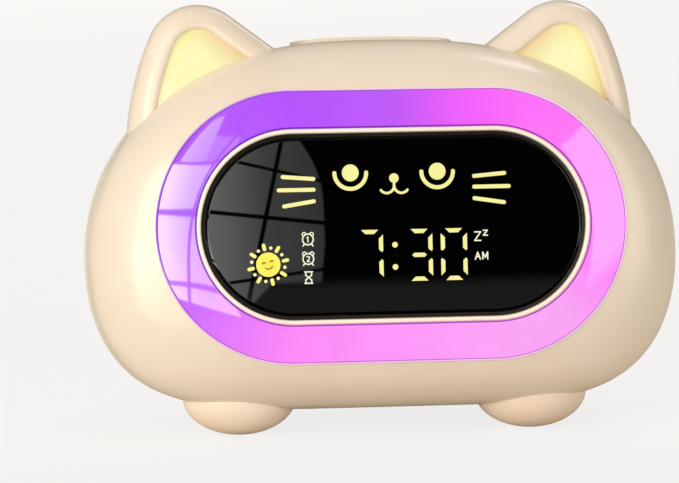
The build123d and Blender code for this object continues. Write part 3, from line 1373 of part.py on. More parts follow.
def power_socket():
    """USB-C socket: a drawn metal shell with a tongue in its mouth."""
    mouth = REAR_Y - SOCKET_SETBACK
    floor = POWER_BOARD_Y + SOCKET_BACK_WALL
    shell = socket_slot(0, POWER_BOARD_Y, mouth)
    shell -= socket_slot(-SOCKET_SKIN, floor, mouth + OVERCUT)
    half_width, half_thick = TONGUE_WIDTH / 2, TONGUE_THICK / 2
    tongue = block((SOCKET_X - half_width, SOCKET_X + half_width), (floor - EMBED, mouth - TONGUE_SETBACK),
                   (SOCKET_Z - half_thick, SOCKET_Z + half_thick))
    return shell + tongue


def power_board_holes():
    reach = POWER_BOARD_WIDTH / 2 - POWER_SCREW_INSET
    return [(SOCKET_X + side * reach, SOCKET_Z) for side in (-1, 1)]


def power_board():
    """Board of the power socket, on two posts of the rear shell."""
    front = POWER_BOARD_Y - BOARD_THICK
    half_width, half_height = POWER_BOARD_WIDTH / 2, POWER_BOARD_HEIGHT / 2
    board = block((SOCKET_X - half_width, SOCKET_X + half_width), (front, POWER_BOARD_Y),
                  (SOCKET_Z - half_height, SOCKET_Z + half_height))
    for x, z in power_board_holes():
        board -= rod(x, z, SCREW_RADIUS + SCREW_HOLE_PLAY, front - OVERCUT, POWER_BOARD_Y + OVERCUT)
    return board


# ---- chips, ribbon cable and leads ---------------------------------------------------------

def chips_on(face_y, outward, middle, chips):
    """Chips on one face of a board, standing off it to the rear (1) or to the front (-1)."""
    solids = []
    for x, z, width, height, thick in chips:
        solid = Box(width, thick, height)
        solids.append(Pos(middle[0] + x, face_y + outward * thick / 2, middle[1] + z) * solid)
    return solids


def board_chips():
    """Controller, drivers, clock chip, charger and connectors of the three boards."""
    chips = chips_on(FRAME_BACK + BOARD_THICK, 1, (0, RING_Z), DISPLAY_CHIPS)
    chips += chips_on(KEY_BOARD_FRONT, -1, (0, KEY_Z), KEY_CHIPS)
    chips += chips_on(POWER_BOARD_Y - BOARD_THICK, -1, (SOCKET_X, SOCKET_Z), POWER_CHIPS)
    return Compound(chips)


def ribbon_cable():
    """Flat cable from the display board's connector back and up to the key board's."""
    start_y = FRAME_BACK + BOARD_THICK + DISPLAY_CHIPS[1][4]
    end_y = KEY_BOARD_FRONT - KEY_CHIPS[2][4]
    end_z = KEY_Z + KEY_CHIPS[2][1]
    path = FilletPolyline((RIBBON_X, start_y, RING_Z), (RIBBON_X, RIBBON_Y, RING_Z),
                          (RIBBON_X, RIBBON_Y, end_z), (RIBBON_X, end_y, end_z), radius=RIBBON_BEND)
    start = Plane(origin=path @ 0, x_dir=(1, 0, 0), z_dir=path % 0)
    return sweep(start * Rectangle(RIBBON_WIDTH, RIBBON_THICK), path=path)


def lead(*corners):
    """One insulated lead along straight runs with rounded bends."""
    path = FilletPolyline(*corners, radius=LEAD_BEND)
    return sweep(Plane(origin=path @ 0, z_dir=path % 0) * Circle(LEAD_RADIUS), path=path)


def lead_pair(x):
    """The places across X of a pair of leads round a middle."""
    return [x - LEAD_PITCH / 2, x + LEAD_PITCH / 2]


def ring_lead_places():
    return lead_pair(0)


def speaker_leads():
    start_y = speaker_front() - SPEAKER_DEPTH
    start_z = SPEAKER_Z + SPEAKER_LEAD_RISE
    return [lead((x, start_y, start_z), (x, SPEAKER_LEAD_Y, start_z), (x, SPEAKER_LEAD_Y, SPEAKER_LEAD_Z),
                 (x, KEY_BOARD_FRONT, SPEAKER_LEAD_Z)) for x in lead_pair(SPEAKER_X + LEAD_PITCH)]


def power_leads():
    start_y = POWER_BOARD_Y - BOARD_THICK
    start_z = SOCKET_Z + POWER_LEAD_DROP
    return [lead((x, start_y, start_z), (x, POWER_LEAD_Y, start_z), (x, POWER_LEAD_Y, POWER_LEAD_Z),
                 (x, KEY_BOARD_FRONT, POWER_LEAD_Z)) for x in lead_pair(POWER_LEAD_X)]


def cell_leads():
    """Leads from the first and last cell's contacts, along the bay's side to the key board."""
    wall_x = BAY_X + BAY_HALF_X + BAY_WALL
    ends = (cell_heights()[0], cell_heights()[-1])
    return [lead((wall_x, CELL_LEAD_Y, z), (x, CELL_LEAD_Y, z), (x, CELL_LEAD_BEND_Y, z),
                 (x, CELL_LEAD_BEND_Y, CELL_LEAD_Z), (x, KEY_BOARD_FRONT, CELL_LEAD_Z))
            for x, z in zip(reversed(lead_pair(CELL_LEAD_X + LEAD_PITCH / 2)), ends)]


def top_leads():
    return [lead((x, TOP_LEAD_Y, TOP_BOARD_BOTTOM), (x, TOP_LEAD_Y, TOP_LEAD_Z),
                 (x, KEY_BOARD_FRONT, TOP_LEAD_Z)) for x in lead_pair(TOP_LEAD_X)]


def ring_leads():
    """Leads through the tray's floor, from the ring's board over to the display board."""
    out_z = RING_Z - RING_LEAD_RADIUS
    in_z = RING_Z - RING_LEAD_END_RADIUS
    return [lead((x, TRAY_FLOOR, out_z), (x, RING_LEAD_Y, out_z), (x, RING_LEAD_Y, in_z),
                 (x, FRAME_BACK + BOARD_THICK, in_z)) for x in ring_lead_places()]


def ear_leads():
    """Leads of the right ear, from its board down through its foot to the display board."""
    start_y = EAR_BOARD_Y + EAR_BOARD_THICK
    end_y = FRAME_BACK + BOARD_THICK
    end_x, end_z = EAR_LEAD_END
    starts, ends = lead_pair(EAR_BOARD_X), lead_pair(end_x)
    return [lead((start, start_y, EAR_LEAD_Z), (start, EAR_LEAD_Y, EAR_LEAD_Z),
                 (end, EAR_LEAD_Y, end_z), (end, end_y, end_z)) for start, end in zip(starts, ends)]


def leads():
    """Every lead of the clock."""
    right_ear = ear_leads()
    left_ear = [mirror(each, about=Plane.YZ) for each in right_ear]
    return Compound(speaker_leads() + power_leads() + cell_leads() + top_leads() + ring_leads()
                    + right_ear + left_ear)


# ---- screws --------------------------------------------------------------------------------

def case_screws():
    seat = PARTING + CASE_SCREW_FLOOR
    piece = screw(CASE_SCREW_FLOOR + CASE_SCREW_BITE, SCREW_HEAD_RADIUS, SCREW_HEAD_THICK)
    return Compound([Pos(x, seat, z) * piece for x, z in CASE_SCREW_SPOTS])


def tray_screws():
    piece = screw(PLATE_THICK + SHORT_SCREW_BITE - SCREW_END_GAP, SHORT_HEAD_RADIUS, SHORT_HEAD_THICK)
    return Compound([Pos(x, TRAY_BACK, z) * piece for x, z in tray_lug_spots()])


def board_screws():
    """Short screws of the display, key and power boards."""
    through = screw(BOARD_THICK + 2 * PLATE_THICK, SHORT_HEAD_RADIUS, SHORT_HEAD_THICK)
    bite = BOARD_THICK + SHORT_SCREW_BITE - SCREW_END_GAP
    short = Rot(X=180) * screw(bite, SHORT_HEAD_RADIUS, SHORT_HEAD_THICK)
    pieces = [Pos(x, FRAME_BACK + BOARD_THICK, z) * through for x, z in frame_screw_spots()]
    pieces += [Pos(x, KEY_BOARD_FRONT, z) * short for x, z in key_board_holes()]
    pieces += [Pos(x, POWER_BOARD_Y - BOARD_THICK, z) * short for x, z in power_board_holes()]
    return Compound(pieces)


# ---- assembly ------------------------------------------------------------------------------

def build_nodes():
    """Every node of the clock, upright, by name."""
    nodes = {
        "front_shell": front_shell(), "rear_shell": rear_shell(), "light_ring": light_ring(),
        "ring_tray": ring_tray(), "ring_led_board": ring_led_board(), "ring_leds": ring_leds(),
        "display_bezel": display_bezel(), "display_lens": display_lens(),
        "display_light_block": display_light_block(), "display_board": display_board(),
        "display_leds": display_leds(),
        "digit_windows": WINDOWS["digits"], "colon_windows": WINDOWS["colon"],
        "face_windows": WINDOWS["face"], "icon_windows": WINDOWS["icons"], "sun_windows": WINDOWS["sun"],
        "ear_leds": ear_leds(), "rear_pads": rear_pads(),
        "top_key": top_key(), "top_key_plunger": top_plunger(), "top_key_switch": top_switch(),
        "top_key_board": top_board(), "key_switches": key_switches(), "key_board": key_board(),
        "battery_door": battery_door(), "battery_cells": battery_cells(),
        "contact_plates": contact_plates(), "contact_springs": contact_springs(),
        "speaker_frame": speaker_frame(), "speaker_cone": speaker_cone(), "speaker_magnet": speaker_magnet(),
        "speaker_mesh": speaker_mesh(), "power_socket": power_socket(), "power_board": power_board(),
        "board_chips": board_chips(), "ribbon_cable": ribbon_cable(), "leads": leads(),
        "case_screws": case_screws(), "tray_screws": tray_screws(),
        "board_screws": board_screws(),
    }
    for index, x in enumerate(key_places(), start=1):
        nodes["rear_key_" + str(index)] = rear_key(x)
        nodes["key_plunger_" + str(index)] = key_plunger(x)
    paired = {"ear_front": ear_front, "ear_back": ear_back, "ear_lens": ear_lens,
              "ear_led_board": ear_led_board, "front_paw": front_paw}
    for name, maker in paired.items():
        for side, solid in pair(maker).items():
            nodes[name + "_" + side] = solid
    return nodes


NODES = {name: upright_to_table(shape) for name, shape in build_nodes().items()}
BOX = Compound([solid for shape in NODES.values() for solid in shape.solids()]).bounding_box()
MIDDLE_Y = (BOX.min.Y + BOX.max.Y) / 2

os.makedirs("parts", exist_ok=True)
for name, shape in NODES.items():
    placed = Pos(0, -MIDDLE_Y, 0) * shape
    solids = placed.solids()
    export_step(solids[0] if len(solids) == 1 else Compound(solids), "parts/" + name + ".step")
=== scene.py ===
import bmesh
import bpy
import numpy as np
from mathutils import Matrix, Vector


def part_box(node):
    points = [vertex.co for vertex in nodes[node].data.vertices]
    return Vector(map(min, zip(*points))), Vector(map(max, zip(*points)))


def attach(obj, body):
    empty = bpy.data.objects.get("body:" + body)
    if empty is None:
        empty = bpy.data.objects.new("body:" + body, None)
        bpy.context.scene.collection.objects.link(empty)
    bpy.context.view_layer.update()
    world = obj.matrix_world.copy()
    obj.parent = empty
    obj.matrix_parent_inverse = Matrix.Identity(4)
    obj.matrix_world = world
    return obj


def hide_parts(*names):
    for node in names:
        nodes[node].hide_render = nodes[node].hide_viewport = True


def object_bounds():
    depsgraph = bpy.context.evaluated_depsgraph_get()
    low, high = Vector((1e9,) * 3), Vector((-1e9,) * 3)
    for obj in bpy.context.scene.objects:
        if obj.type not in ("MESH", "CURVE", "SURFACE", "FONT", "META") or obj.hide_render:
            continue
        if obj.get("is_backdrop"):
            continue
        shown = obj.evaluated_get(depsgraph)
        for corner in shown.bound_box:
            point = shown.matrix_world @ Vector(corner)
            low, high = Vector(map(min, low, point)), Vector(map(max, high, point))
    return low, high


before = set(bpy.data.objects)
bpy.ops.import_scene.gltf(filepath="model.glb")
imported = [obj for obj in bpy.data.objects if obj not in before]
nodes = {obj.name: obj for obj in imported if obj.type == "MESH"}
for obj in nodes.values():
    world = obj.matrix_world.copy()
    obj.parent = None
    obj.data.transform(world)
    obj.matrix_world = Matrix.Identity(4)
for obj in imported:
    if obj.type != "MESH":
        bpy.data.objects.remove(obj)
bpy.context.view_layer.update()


# ---- Front half of the case ------------------------------------------------------------------
# A deep shell moulded in cream ABS. Its mould was spark eroded, which leaves a satin skin with a
# very fine grain, and the colour clouds by a percent or two where the melt fronts met. A dark
# line of painted shadow, for the gap between the halves, runs round the case where they meet.

CREAM = "#F3E3CF"
CREAM_SHADE = "#EFDDC6"
# Colour of the painted shadow line along the seam
SEAM_SHADOW = "#6E5F4C"

# How the upright clock stands on the table: its lean, and its shift back and up in mm
LEAN = np.radians(10.0)
SET_BACK = -5.4356
LIFT = 47.9
CASE_SEAM = 3.0

# Noise features to the metre
CLOUDS = 45.0
GRAIN = 2600.0


def linear(code, strength=1.0):
    """A hex colour as linear red, green, blue and 1, each colour times a strength."""
    parts = np.array([int(code[at:at + 2], 16) for at in (1, 3, 5)]) / 255
    parts = np.where(parts <= 0.04045, parts / 12.92, ((parts + 0.055) / 1.055) ** 2.4)
    return (*(parts * strength).tolist(), 1.0)


class Wire:
    """A value in a material. Arithmetic on it adds Math nodes, and node() adds any other node."""

    def __init__(self, tree, socket=None):
        self.tree = tree
        self.socket = socket

    def node(self, kind, settings=None, inputs=None, output=0):
        """Adds a node: first its settings, then the values or wires of its sockets."""
        made = self.tree.nodes.new(kind)
        for name, value in (settings or {}).items():
            setattr(made, name, value)
        for name, value in (inputs or {}).items():
            if isinstance(value, Wire):
                self.tree.links.new(value.socket, made.inputs[name])
            else:
                made.inputs[name].default_value = value
        return Wire(self.tree, made.outputs[output])

    def maths(self, operation, other=0.0):
        """This value through a Math node, with another value where the operation takes two."""
        return self.node("ShaderNodeMath", {"operation": operation}, {0: self, 1: other})

    def __add__(self, other):
        return self.maths("ADD", other)

    __radd__ = __add__

    def __sub__(self, other):
        return self.maths("SUBTRACT", other)

    def __rsub__(self, other):
        return self.node("ShaderNodeMath", {"operation": "SUBTRACT"}, {0: other, 1: self})

    def __mul__(self, other):
        return self.maths("MULTIPLY", other)

    __rmul__ = __mul__

    def __abs__(self):
        return self.maths("ABSOLUTE")

    def __or__(self, other):
        return self.maths("MAXIMUM", other)

    def ramp(self, low, high, start=0.0, end=1.0):
        """This value's smooth climb from start, at low, to end, at high."""
        settings = {"interpolation_type": "SMOOTHSTEP", "clamp": True}
        inputs = {"Value": self, "From Min": low, "From Max": high, "To Min": start, "To Max": end}
        return self.node("ShaderNodeMapRange", settings, inputs)

    def blend(self, first, second):
        """Colour that goes from first to second as this value goes from 0 to 1."""
        inputs = {"Factor": self, 6: first, 7: second}
        return self.node("ShaderNodeMix", {"data_type": "RGBA"}, inputs, output=2)

    def tinted(self, red, green, blue):
        """This colour, each part times its share."""
        settings = {"data_type": "RGBA", "blend_type": "MULTIPLY"}
        inputs = {"Factor": 1.0, 6: self, 7: (red, green, blue, 1.0)}
        return self.node("ShaderNodeMix", settings, inputs, output=2)

    def noise(self, place, scale, detail=2.0, roughness=0.5):
        """Cloudy noise from 0 to 1, with features about 1/scale metres across."""
        inputs = {"Vector": place, "Scale": scale, "Detail": detail, "Roughness": roughness}
        return self.node("ShaderNodeTexNoise", None, inputs)

    def place(self):
        """Where a point of the piece is, in metres on the table."""
        return self.node("ShaderNodeTexCoord", None, None, "Object")

    def apart(self, vector):
        """The three parts of a vector."""
        return [self.node("ShaderNodeSeparateXYZ", None, {0: vector}, axis) for axis in range(3)]

    def across_and_up(self):
        """How far right and how far up a point of the piece is, in mm on the table."""
        across, _, up = self.apart(self.place())
        return across * 1000.0, up * 1000.0

    def bump(self, height, distance, strength=1.0):
        """A normal raised by a height from 0 to 1, over that distance in metres."""
        inputs = {"Height": height, "Distance": distance, "Strength": strength}
        return self.node("ShaderNodeBump", None, inputs)


class Finish:
    """One material with a Principled shader, its fixed sockets and its varying ones."""

    def __init__(self, name, **fixed):
        self.material = bpy.data.materials.new(name)
        self.material.use_nodes = True
        tree = self.material.node_tree
        self.shader = tree.nodes["Principled BSDF"]
        self.wire = Wire(tree)
        self.set(**fixed)

    def set(self, **sockets):
        """Sets sockets of the shader, named with _ for each space, to values or wires."""
        for key, value in sockets.items():
            socket = self.shader.inputs[key.replace("_", " ")]
            if isinstance(value, Wire):
                self.wire.tree.links.new(value.socket, socket)
            else:
                socket.default_value = value


def moulded(name, light, shade, rough, grain=1.0, seam=None, **fixed):
    """Moulded plastic: clouded between two close tones, satin, with a spark-eroded grain.

    A seam is the depth, in mm on the clock held upright, of the dark line of painted shadow between
    two halves.
    """
    made = Finish(name, **fixed)
    wire, place = made.wire, made.wire.place()
    clouds = wire.noise(place, CLOUDS, 3.0)
    fine = wire.noise(place, GRAIN, 2.0, 0.6)
    broad = wire.noise(place, 160.0, 2.0)
    tone = clouds.ramp(0.25, 0.75).blend(linear(light), linear(shade))
    if seam is not None:
        _, back, up = wire.apart(place)
        depth = (back - SET_BACK / 1000) * np.cos(LEAN) - (up - LIFT / 1000) * np.sin(LEAN)
        # Painted shadow: a dark line where two halves meet stands in for the shade in the gap
        # between them
        seam_shadow = abs(depth - seam / 1000).ramp(0.00007, 0.00016, 0.75, 0.0)
        tone = seam_shadow.blend(tone, linear(SEAM_SHADOW))
    made.set(Base_Color=tone, Roughness=clouds * 0.05 + fine * 0.06 + (rough - 0.055),
             Normal=wire.bump(fine * 0.75 + broad * 0.25, 0.00004 * grain, 0.55))
    return made.material


def dress(material, slot, *names):
    """Gives CAD nodes a material. The slot is not used."""
    for name in names:
        piece = nodes[name]
        piece.data.materials.clear()
        piece.data.materials.append(material)


cream = moulded("cream_case", CREAM, CREAM_SHADE, 0.36, seam=CASE_SEAM,
                Coat_Weight=0.4, Coat_Roughness=0.16)
dress(cream, "cream_shell", "front_shell")


# ---- Rear half of the case and its battery door ----------------------------------------------
# The rear shell comes from the same cream ABS, and so does the lid that closes the battery bay.
# Both have a slightly coarser grain than the front, as rear mouldings do.

# The rear shell and battery lid carry the same painted shadow line at the case's seam.
cream_rear = moulded("cream_rear", CREAM, CREAM_SHADE, 0.42, grain=1.6, seam=CASE_SEAM)
dress(cream_rear, "cream_shell", "rear_shell", "battery_door")


# ---- Ears ------------------------------------------------------------------------------------
# Each ear is a hollow cream moulding in two halves. The front half ends in a soft roll round its
# window: a quarter round from the side to the face, then a small one down into the window.

EAR_SEAM = -1.5

# Outline, in mm: the tip's arc, the long outer arc and the straight inner flank that they end in
TIP_X, TIP_Z, TIP_RADIUS = 43.39, 40.49, 12.16
SIDE_X, SIDE_Z, SIDE_RADIUS = -6.99, 18.08, 67.3
FLANK_TURN, TIP_TURN, SIDE_TURN = 126.94, 23.98, 2.0
FLANK_X, FLANK_Z = 0.7992, 0.6010
FLANK_LOW, FLANK_HIGH = 18.0, 0.6

# Section, in mm: the face's depth, the radii of the roll outside it and of the lip inside it, the
# wall's thickness and its back edge's depth
EAR_FACE, EAR_ROLL, EAR_LIP, EAR_WALL, EAR_BACK = -8.5, 4.8, 1.2, 1.8, -1.55


def stand(points):
    """Points of the upright clock, in mm, as metres on the table, where it leans back."""
    x, y, z = np.moveaxis(np.asarray(points, float), -1, 0)
    depth = y * np.cos(LEAN) + z * np.sin(LEAN) + SET_BACK
    height = z * np.cos(LEAN) - y * np.sin(LEAN) + LIFT
    return np.stack([x, depth, height], axis=-1) / 1000


def skin(name, grid, material, marks=None, poles=False):
    """Closed surface whose faces join each point of a grid, in upright mm, to its neighbours.

    The last column joins the first, and so does the last row, except where poles says that both
    rows shrink to a point or a line, which closes the surface. Points that coincide become one.
    Marks are a number or a colour for each point of the grid.
    """
    rows, columns = grid.shape[:2]
    corner = np.arange(rows * columns).reshape(rows, columns)
    beside = np.roll(corner, -1, axis=1)
    above = [np.roll(points, -1, axis=0) for points in (beside, corner)]
    faces = np.stack([corner, beside, *above], axis=-1)
    faces = faces[:rows - 1] if poles else faces
    mesh = bpy.data.meshes.new(name)
    mesh.from_pydata(stand(grid).reshape(-1, 3).tolist(), [], faces.reshape(-1, 4).tolist())
    for key, values in (marks or {}).items():
        coloured = values.ndim == 3
        mark = mesh.attributes.new(key, "FLOAT_COLOR" if coloured else "FLOAT", "POINT")
        values = values.astype(np.float32).ravel()
        mark.data.foreach_set("color" if coloured else "value", values)
    work = bmesh.new()
    work.from_mesh(mesh)
    bmesh.ops.remove_doubles(work, verts=work.verts, dist=1e-6)
    bare = [edge for edge in work.edges if edge.is_wire]
    bmesh.ops.delete(work, geom=bare, context="EDGES")
    bmesh.ops.recalc_face_normals(work, faces=work.faces)
    work.to_mesh(mesh)
    work.free()
    mesh.shade_smooth()
    mesh.set_sharp_from_angle(angle=np.radians(50))
    mesh.materials.append(material)
    piece = bpy.data.objects.new(name, mesh)
    bpy.context.scene.collection.objects.link(piece)
    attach(piece, "case")
    return piece


def arc(low, high, count):
    """Cosines and sines of evenly spaced angles, in degrees."""
    angle = np.radians(np.linspace(low, high, count))
    return np.cos(angle), np.sin(angle)


def ear_outline(inset, count=48):
    """The right ear's outline, in mm, drawn in by each inset: one row of x and z for each.

    It runs up the straight inner flank, round the tip's arc and down the long outer arc. All
    three shift by the inset along their normals, and they stay tangent.
    """
    inset = np.atleast_1d(np.asarray(inset, float))[:, None]
    tip, side = TIP_RADIUS - inset, SIDE_RADIUS - inset
    tip_cos, tip_sin = arc(FLANK_TURN, TIP_TURN, count)
    side_cos, side_sin = arc(TIP_TURN, SIDE_TURN, count)
    run = np.linspace(FLANK_LOW, FLANK_HIGH, count // 2)
    x = np.hstack([TIP_X + tip * tip_cos[0] - FLANK_X * run, TIP_X + tip * tip_cos,
                   SIDE_X + side * side_cos[1:]])
    z = np.hstack([TIP_Z + tip * tip_sin[0] - FLANK_Z * run, TIP_Z + tip * tip_sin,
                   SIDE_Z + side * side_sin[1:]])
    return x, z


def mirrored(grid, side):
    """A grid of points of the right ear, or its mirror image for the left one."""
    return grid * np.array([side, 1, 1])


# The ears carry the same painted shadow line where each ear's two halves meet.
cream_ear = moulded("cream_ear", CREAM, CREAM_SHADE, 0.34, seam=EAR_SEAM,
                    Coat_Weight=0.4, Coat_Roughness=0.14)
dress(cream_ear, "cream_ear", "ear_back_left", "ear_back_right")
roll_cos, roll_sin = arc(0, 90, 24)
lip_cos, lip_sin = arc(0, 90, 12)
window = EAR_ROLL + EAR_LIP
inset = np.hstack([0.0, EAR_ROLL * (1 - roll_cos), EAR_ROLL + EAR_LIP * lip_sin[1:], window,
                   EAR_WALL, EAR_WALL])
depth = np.hstack([EAR_BACK, EAR_FACE + EAR_ROLL * (1 - roll_sin),
                   EAR_FACE + EAR_LIP * (1 - lip_cos[1:]), EAR_FACE + EAR_WALL,
                   EAR_FACE + EAR_WALL, EAR_BACK])
outline_x, outline_z = ear_outline(inset)
depth = np.broadcast_to(depth[:, None], outline_x.shape)
rim = np.stack([outline_x, depth, outline_z], axis=-1)
ends = [np.broadcast_to(rim[:, at].mean(axis=0), rim[:, at].shape)[:, None] for at in (0, -1)]
rim = np.hstack([ends[0], rim, ends[1]])
for side, word in ((1, "right"), (-1, "left")):
    piece = skin("ear_rim_" + word, mirrored(rim, side), cream_ear)
    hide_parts("ear_front_" + word)


# ---- Ear lenses ------------------------------------------------------------------------------
# A milky, slightly domed pane closes each ear's window. Lamps behind its middle light it a warm
# yellow, and it turns deeper along its edge, partly where their light has further to come and
# partly from painted shade: deepest on the edge turned from the key light, paler where it is lit.

PANE_X, PANE_Z, PANE_INSET = 43.0, 31.0, 5.95
PANE_FRONT, PANE_DOME, PANE_BACK = -7.55, 0.55, -6.1
PANE_MIDDLE = "#FFFDBE"

# Along the edge, from the inner foot over the tip to the outer foot: how far out from the middle
# the deeper colour sets in, and that colour on each ear, with painted shade at the right ear's
# outer foot and painted light at the left one's
FALLOFF_AND_SHADE_ONSETS = ((0, 0.40), (0.2, 0.52), (0.45, 0.68), (0.62, 0.66), (0.85, 0.38), (1, 0.20))
EDGE_HUES_AND_SHADE = {
    "right": ((0, "#ECC592"), (0.25, "#FFE2AC"), (0.45, "#FDF6A6"), (0.65, "#FCE896"),
              (1, "#DDA868")),
    "left": ((0, "#ECC592"), (0.25, "#FFE0AC"), (0.45, "#FDF8A8"), (0.65, "#FCF5AE"),
             (1, "#FFF3DA")),
}


def hues(stops, along):
    """Colours at places from 0 to 1, each a blend of the two nearest of the stops' colours."""
    places = [place for place, _ in stops]
    colours = np.array([linear(colour) for _, colour in stops])
    return np.stack([np.interp(along, places, colours[:, part]) for part in range(4)], axis=-1)


def glowing(name, shown, share, edge=None, **fixed):
    """Milky plastic lit from behind by its mark "glow": a share of it shines, the rest is skin.

    An edge is the share of each colour that is left in a fine dark line of painted shade along
    both edges of a piece with a mark "across", from 0 at one edge to 1 at the other.
    """
    made = Finish(name, Emission_Strength=share, **fixed)
    wire = made.wire
    glow = wire.node("ShaderNodeAttribute", {"attribute_name": "glow"}, None, "Color")
    clouds = wire.noise(wire.place(), 90.0, 3.0).ramp(0.3, 0.7)
    lively = clouds.blend(glow, glow.tinted(0.96, 0.95, 0.94))
    if edge:
        across = wire.node("ShaderNodeAttribute", {"attribute_name": "across"}, None, "Fac")
        # Painted shade: the colour darkens in a fine line along both edges
        inside = across.ramp(0.018, 0.036) * (1 - across.ramp(0.962, 0.980))
        lively = inside.blend(lively.tinted(*edge), lively)
    made.set(Emission_Color=lively, Base_Color=lively.tinted(shown, shown, shown))
    return made.material


ear_glow = glowing("ear_glow", 0.22, 0.76, Roughness=0.32, Coat_Weight=0.1)
reach = np.hstack([np.linspace(0, 0.6, 8), np.linspace(0.65, 1.0, 16)])
edge_x, edge_z = ear_outline(PANE_INSET)
x = PANE_X + (edge_x - PANE_X) * reach[:, None]
z = PANE_Z + (edge_z - PANE_Z) * reach[:, None]
dome = PANE_FRONT + PANE_DOME * np.broadcast_to(reach[:, None] ** 4, x.shape)
front = np.stack([x, dome, z], axis=-1)
rear = np.stack([x, np.full_like(x, PANE_BACK), z], axis=-1)[::-1]
pane = np.vstack([front, rear])
along = np.linspace(0, 1, x.shape[1])
onset = np.interp(along, *zip(*FALLOFF_AND_SHADE_ONSETS))[None, :, None]
both_ways = np.hstack([reach, reach[::-1]])[:, None, None]
soft = np.clip((both_ways - onset) / (1 - onset), 0, 1) ** 1.5
middle = np.array(linear(PANE_MIDDLE))
for side, word in ((1, "right"), (-1, "left")):
    # Towards the edge the glow blends to the edge colours: partly the lamps' falloff, partly
    # painted shade and light.
    glow = middle + (hues(EDGE_HUES_AND_SHADE[word], along) - middle) * soft
    piece = skin("ear_pane_" + word, mirrored(pane, side), ear_glow,
                 {"glow": glow}, poles=True)
    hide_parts("ear_lens_" + word)


# ---- Light ring ------------------------------------------------------------------------------
# A crowned, polished racetrack of milky polycarbonate, held by a hidden flange between the shell
# and the light tray. Coloured lamps behind it fade from violet, through magenta at the top, to
# pink at the right and along the foot. A fine dark line of painted shade runs along both of its
# edges, for the gaps by the case and the bezel, and thin glowing beads just outside them are
# painted light: the ring's glow caught on the case's lip and in the gap by the bezel.

# Racetrack, in mm: half its straight run, and the height of its middle
HALF_RUN, TRACK_Z = 23.54, -0.47

# Section, in mm: outer radius, width, depth at the outer edge, how far the face comes forward
# to the inner edge, how much it swells between, the rounding of its edges and its two back edges
RING_RADIUS, RING_WIDTH, RING_Y = 31.7, 8.85, -18.85
RING_RISE, RING_SWELL, RING_EDGE = 2.9, 1.4, 0.25
RING_BACK_OUTER, RING_BACK_INNER = -16.9, -19.75

# The line along which the way round the ring is measured, and each painted glow bead's radius,
# depth and half thickness, in mm
RING_MIDDLE = 27.3
LIP_GLOW = (31.80, -18.98, 0.16)
GAP_GLOW = (22.77, -21.66, 0.10)

# Colours clockwise from the left end
RING_HUES = ((0, "#B664FA"), (0.10, "#B45CFE"), (0.16, "#B650FF"), (0.25, "#BE5AFC"),
             (0.325, "#F660FD"), (0.39, "#FF76F9"), (0.5, "#FF80FA"), (0.545, "#FE8CFC"),
             (0.595, "#FEAAFD"), (0.66, "#FEA6FC"), (0.75, "#FE9AFE"), (0.84, "#FF8CFC"),
             (0.93, "#D070FF"), (1, "#B664FA"))
# Colours of the painted glow on the case's lip, the same way round
LIP_GLOW_HUES = ((0, "#A860F6"), (0.06, "#BC78FA"), (0.2, "#FFC8FF"), (0.35, "#FFDCFF"),
             (0.9, "#FFC4FF"), (1, "#A860F6"))


def racetrack(radius, count=80):
    """x and z, in mm, round a racetrack of each radius, clockwise from its left end."""
    radius = np.atleast_1d(np.asarray(radius, float))[:, None]
    run = np.linspace(-HALF_RUN, HALF_RUN, 16)[1:-1]
    half, straight = count // 2, len(run)
    turns = [np.linspace(180, 90, half), np.full(straight, 90.0), np.linspace(90, -90, count),
             np.full(straight, -90.0), np.linspace(-90, -180, half)[:-1]]
    middles = [np.full(half, -HALF_RUN), run, np.full(count, HALF_RUN), run[::-1],
               np.full(half - 1, -HALF_RUN)]
    turn, middle = np.radians(np.hstack(turns)), np.hstack(middles)
    return middle + radius * np.cos(turn), TRACK_Z + radius * np.sin(turn)


def loop(radius, depth):
    """A closed section, of radius and depth in mm, carried round the racetrack."""
    x, z = racetrack(radius)
    return np.stack([x, np.broadcast_to(np.asarray(depth)[:, None], x.shape), z], axis=-1)


def bead(name, radius, depth, half, glow):
    """A thin round bead of painted glow along the racetrack, half as thick as it says, in mm."""
    bead_cos, bead_sin = arc(0, 330, 12)
    grid = loop(radius + half * bead_cos, depth + half * bead_sin)
    glow = np.broadcast_to(glow, (*grid.shape[:2], 4))
    skin(name, grid, lip_and_gap_glow, {"glow": glow})


# The ring's edge share paints a fine dark line of shade along both edges, for the gaps by the case
# and the bezel.
ring_glow = glowing("ring_glow", 0.16, 0.92, edge=(0.32, 0.12, 0.40), Roughness=0.09, IOR=1.6,
                    Coat_Weight=1.0, Coat_Roughness=0.02, Coat_IOR=1.6)
across = 0.5 - 0.5 * np.cos(np.linspace(0, np.pi, 56))
near_edge = np.clip(1 - RING_WIDTH * np.minimum(across, 1 - across) / RING_EDGE, 0, 1)
depth = (RING_Y - RING_RISE * across - RING_SWELL * across * (1 - across)
         + RING_EDGE * (1 - np.sqrt(1 - near_edge ** 2)))
depth = np.hstack([RING_BACK_OUTER, depth, RING_BACK_INNER])
radius = np.hstack([RING_RADIUS, RING_RADIUS - RING_WIDTH * across, RING_RADIUS - RING_WIDTH])
ring = loop(radius, depth)
middle_x, middle_z = racetrack(RING_MIDDLE)
steps = np.hypot(np.diff(middle_x[0]), np.diff(middle_z[0]))
along = np.hstack([0, np.cumsum(steps)])
along = along / (along[-1] + steps[0])
ring_hue = hues(RING_HUES, along)
across = np.broadcast_to(np.hstack([0, across, 1])[:, None], ring.shape[:2])
piece = skin("ring_diffuser", ring, ring_glow,
             {"glow": np.broadcast_to(ring_hue, (*ring.shape[:2], 4)), "across": across})
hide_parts("light_ring")

